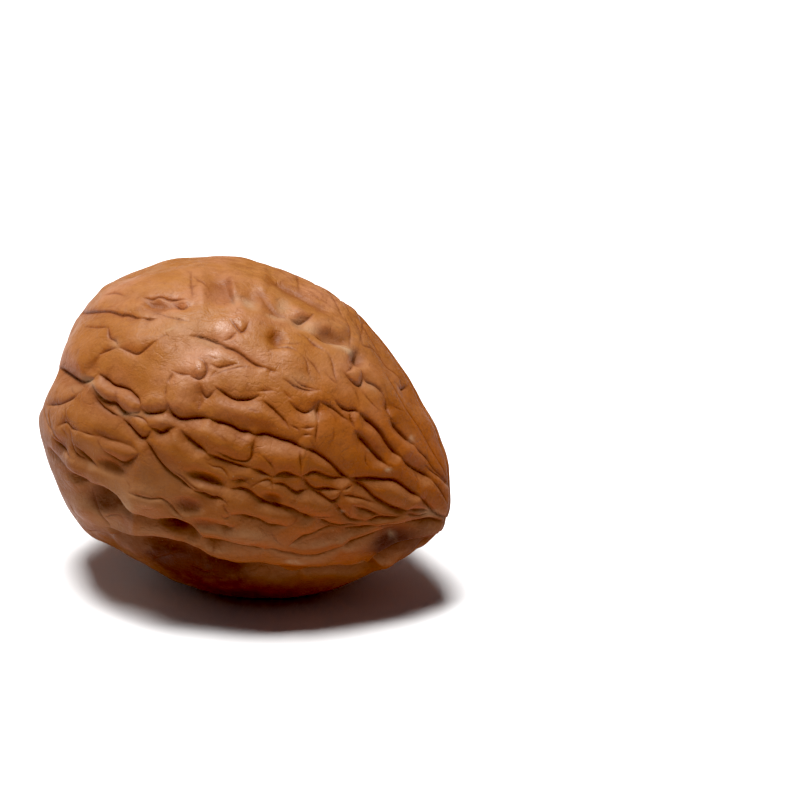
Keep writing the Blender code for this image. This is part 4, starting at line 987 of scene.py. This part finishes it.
def drawn_out(tree, where, scale):
    """The place on the nut, scaled along its length so that noise there is drawn out."""
    inputs = {"Vector": where, "Rotation": (0, math.radians(-PITCH), 0), "Scale": (scale, 1, 1)}
    return add_node(tree, "ShaderNodeMapping", inputs).outputs["Vector"]


def between(tree, value, low, high, bottom=0.0, top=1.0):
    """The value's place from low to high, as a number from bottom to top."""
    inputs = {"Value": value, "From Min": low, "From Max": high, "To Min": bottom, "To Max": top}
    return add_node(tree, "ShaderNodeMapRange", inputs, clamp=True).outputs["Result"]


def combined(tree, operation, first, second):
    """Two numbers added, multiplied or compared."""
    node = add_node(tree, "ShaderNodeMath", operation=operation)
    for socket, value in zip(node.inputs, (first, second)):
        feed(tree, socket, value)
    return node.outputs["Value"]


def joined(tree, operation, signals, spans):
    """The spans of the named signals, all added or all multiplied."""
    total = None
    for name, *span in spans:
        value = between(tree, signals[name], *span)
        total = value if total is None else combined(tree, operation, total, value)
    return total


def mixed(tree, share, first, second, blend):
    """Two colours mixed by a share."""
    node = add_node(tree, "ShaderNodeMix", data_type="RGBA", blend_type=blend)
    colour_inputs = [socket for socket in node.inputs if socket.type == "RGBA"]
    for socket, value in zip((node.inputs["Factor"], *colour_inputs), (share, first, second)):
        feed(tree, socket, value)
    return next(socket for socket in node.outputs if socket.type == "RGBA")


def creases_at(tree, where, bend, size, width):
    """1 on a net of fine creases and 0 between them, in cells of about size millimetres."""
    pushed = add_node(tree, "ShaderNodeVectorMath", {"Vector": bend}, operation="SCALE")
    pushed.inputs["Scale"].default_value = size * METRES
    place = add_node(tree, "ShaderNodeVectorMath", operation="ADD")
    tree.links.new(where, place.inputs[0])
    tree.links.new(pushed.outputs["Vector"], place.inputs[1])
    inputs = {"Vector": place.outputs["Vector"], "Scale": 1 / (size * METRES)}
    cells = add_node(tree, "ShaderNodeTexVoronoi", inputs, feature="DISTANCE_TO_EDGE")
    return between(tree, cells.outputs["Distance"], 0.0, width, 1.0, 0.0)


def shell_signals(tree):
    """All that the shell's look follows: its noise, its creases and the marks on its mesh."""
    where = add_node(tree, "ShaderNodeTexCoord").outputs["Object"]
    signals = {}
    for name, (size, detail, roughness, scale) in NOISES.items():
        place = where if scale == 1 else drawn_out(tree, where, scale)
        signals[name] = noise_at(tree, place, size, detail, roughness).outputs["Fac"]
    bend = noise_at(tree, where, *CREASE_BEND).outputs["Color"]
    place = drawn_out(tree, where, CREASE_SCALE)
    for name, (size, width) in CREASES.items():
        signals[name] = creases_at(tree, place, bend, size, width)
    for name in MARKS:
        signals[name] = add_node(tree, "ShaderNodeAttribute", attribute_name=name).outputs["Fac"]
    for name, operation, by, *span in BROKEN_UP:
        change = between(tree, signals[by], *span)
        signals[name] = combined(tree, operation, signals[name], change)
    signals["creases"] = combined(tree, "MAXIMUM", signals["creases"], signals["small creases"])
    return signals


def shell_material():
    """Tan shell with pinkish and ochre patches, pale dust and a waxy gloss; painted shade darkens
    its furrows, dents, sides and underside, and a painted sheen pales its upward lips.
    """
    material = bpy.data.materials.new("walnut_shell")
    material.use_nodes = True
    tree = material.node_tree
    shader = tree.nodes["Principled BSDF"]
    signals = shell_signals(tree)
    colour = TAN
    for paint, blend, *spans in COATS:
        share = joined(tree, "MULTIPLY", signals, spans)
        colour = mixed(tree, share, colour, paint, blend)
    height = joined(tree, "ADD", signals, BUMP)
    inputs = {"Height": height, "Strength": BUMP_STRENGTH, "Distance": BUMP_DISTANCE * METRES}
    bump = add_node(tree, "ShaderNodeBump", inputs)
    tree.links.new(colour, shader.inputs["Base Color"])
    tree.links.new(joined(tree, "ADD", signals, ROUGHNESS), shader.inputs["Roughness"])
    tree.links.new(joined(tree, "ADD", signals, SHINE), shader.inputs["Specular IOR Level"])
    tree.links.new(bump.outputs["Normal"], shader.inputs["Normal"])
    return material


def floor():
    """A plain white floor just under the nut."""
    bpy.ops.mesh.primitive_plane_add(size=FLOOR_SIZE, location=(0, 0, -FLOOR_GAP))
    plane = bpy.context.object
    plane.name = "floor"
    material = bpy.data.materials.new("white_floor")
    material.use_nodes = True
    shader = material.node_tree.nodes["Principled BSDF"]
    shader.inputs["Base Color"].default_value = FLOOR_WHITE
    shader.inputs["Roughness"].default_value = FLOOR_ROUGHNESS
    shader.inputs["Specular IOR Level"].default_value = FLOOR_SHINE
    plane.data.materials.append(material)


def softbox(name, size, power, place):
    """A square lamp that looks at the nut."""
    lamp = bpy.data.lights.new(name, "AREA")
    lamp.size = size
    lamp.energy = power
    box = bpy.data.objects.new(name, lamp)
    box.location = place
    box.rotation_euler = (-Vector(place)).to_track_quat("-Z", "Y").to_euler()
    bpy.context.scene.collection.objects.link(box)


def lighting():
    """A softbox overhead, a weak one at the left and a little light from all around."""
    world = bpy.data.worlds.new("studio")
    world.use_nodes = True
    background = world.node_tree.nodes["Background"]
    background.inputs["Color"].default_value = SKY_COLOUR
    background.inputs["Strength"].default_value = SKY_STRENGTH
    bpy.context.scene.world = world
    softbox("softbox", SOFTBOX_SIZE, SOFTBOX_POWER, SOFTBOX_PLACE)
    softbox("fill", FILL_SIZE, FILL_POWER, FILL_PLACE)


def photo_camera():
    """The camera, where the sketch's eye is, looking square at the sketch plane."""
    right, up, back, eye = sketch_frame()
    _, lowest = lying_pose()
    place = (eye - lowest - (0, 0, FLAT_SPOT_CUT)) * METRES
    lens = bpy.data.cameras.new("camera")
    lens.lens = LENS
    lens.sensor_width = SENSOR_WIDTH
    lens.clip_start = CLIP_START
    camera = bpy.data.objects.new("camera", lens)
    axes = Matrix((right, up, back)).transposed()
    camera.matrix_world = Matrix.Translation(Vector(place)) @ axes.to_4x4()
    bpy.context.scene.collection.objects.link(camera)
    bpy.context.scene.camera = camera


def main():
    fine, marks = shell_mesh()
    thin = thinned(fine)
    carry_marks(fine, thin, marks)
    lip_mark(thin)
    for vert in thin.vertices:
        vert.co.z = max(vert.co.z, 0.0)
    thin.shade_smooth()
    thin.name = "walnut_shell"
    thin.materials.append(shell_material())
    shell = bpy.data.objects.new("walnut_shell", thin)
    bpy.context.scene.collection.objects.link(shell)
    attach(shell, "root")
    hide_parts("walnut")
    floor()
    lighting()
    photo_camera()
    settings = bpy.context.scene.view_settings
    settings.view_transform = "Standard"
    settings.use_curve_mapping = True
    settings.curve_mapping.black_level = BLACK_LEVEL


main()
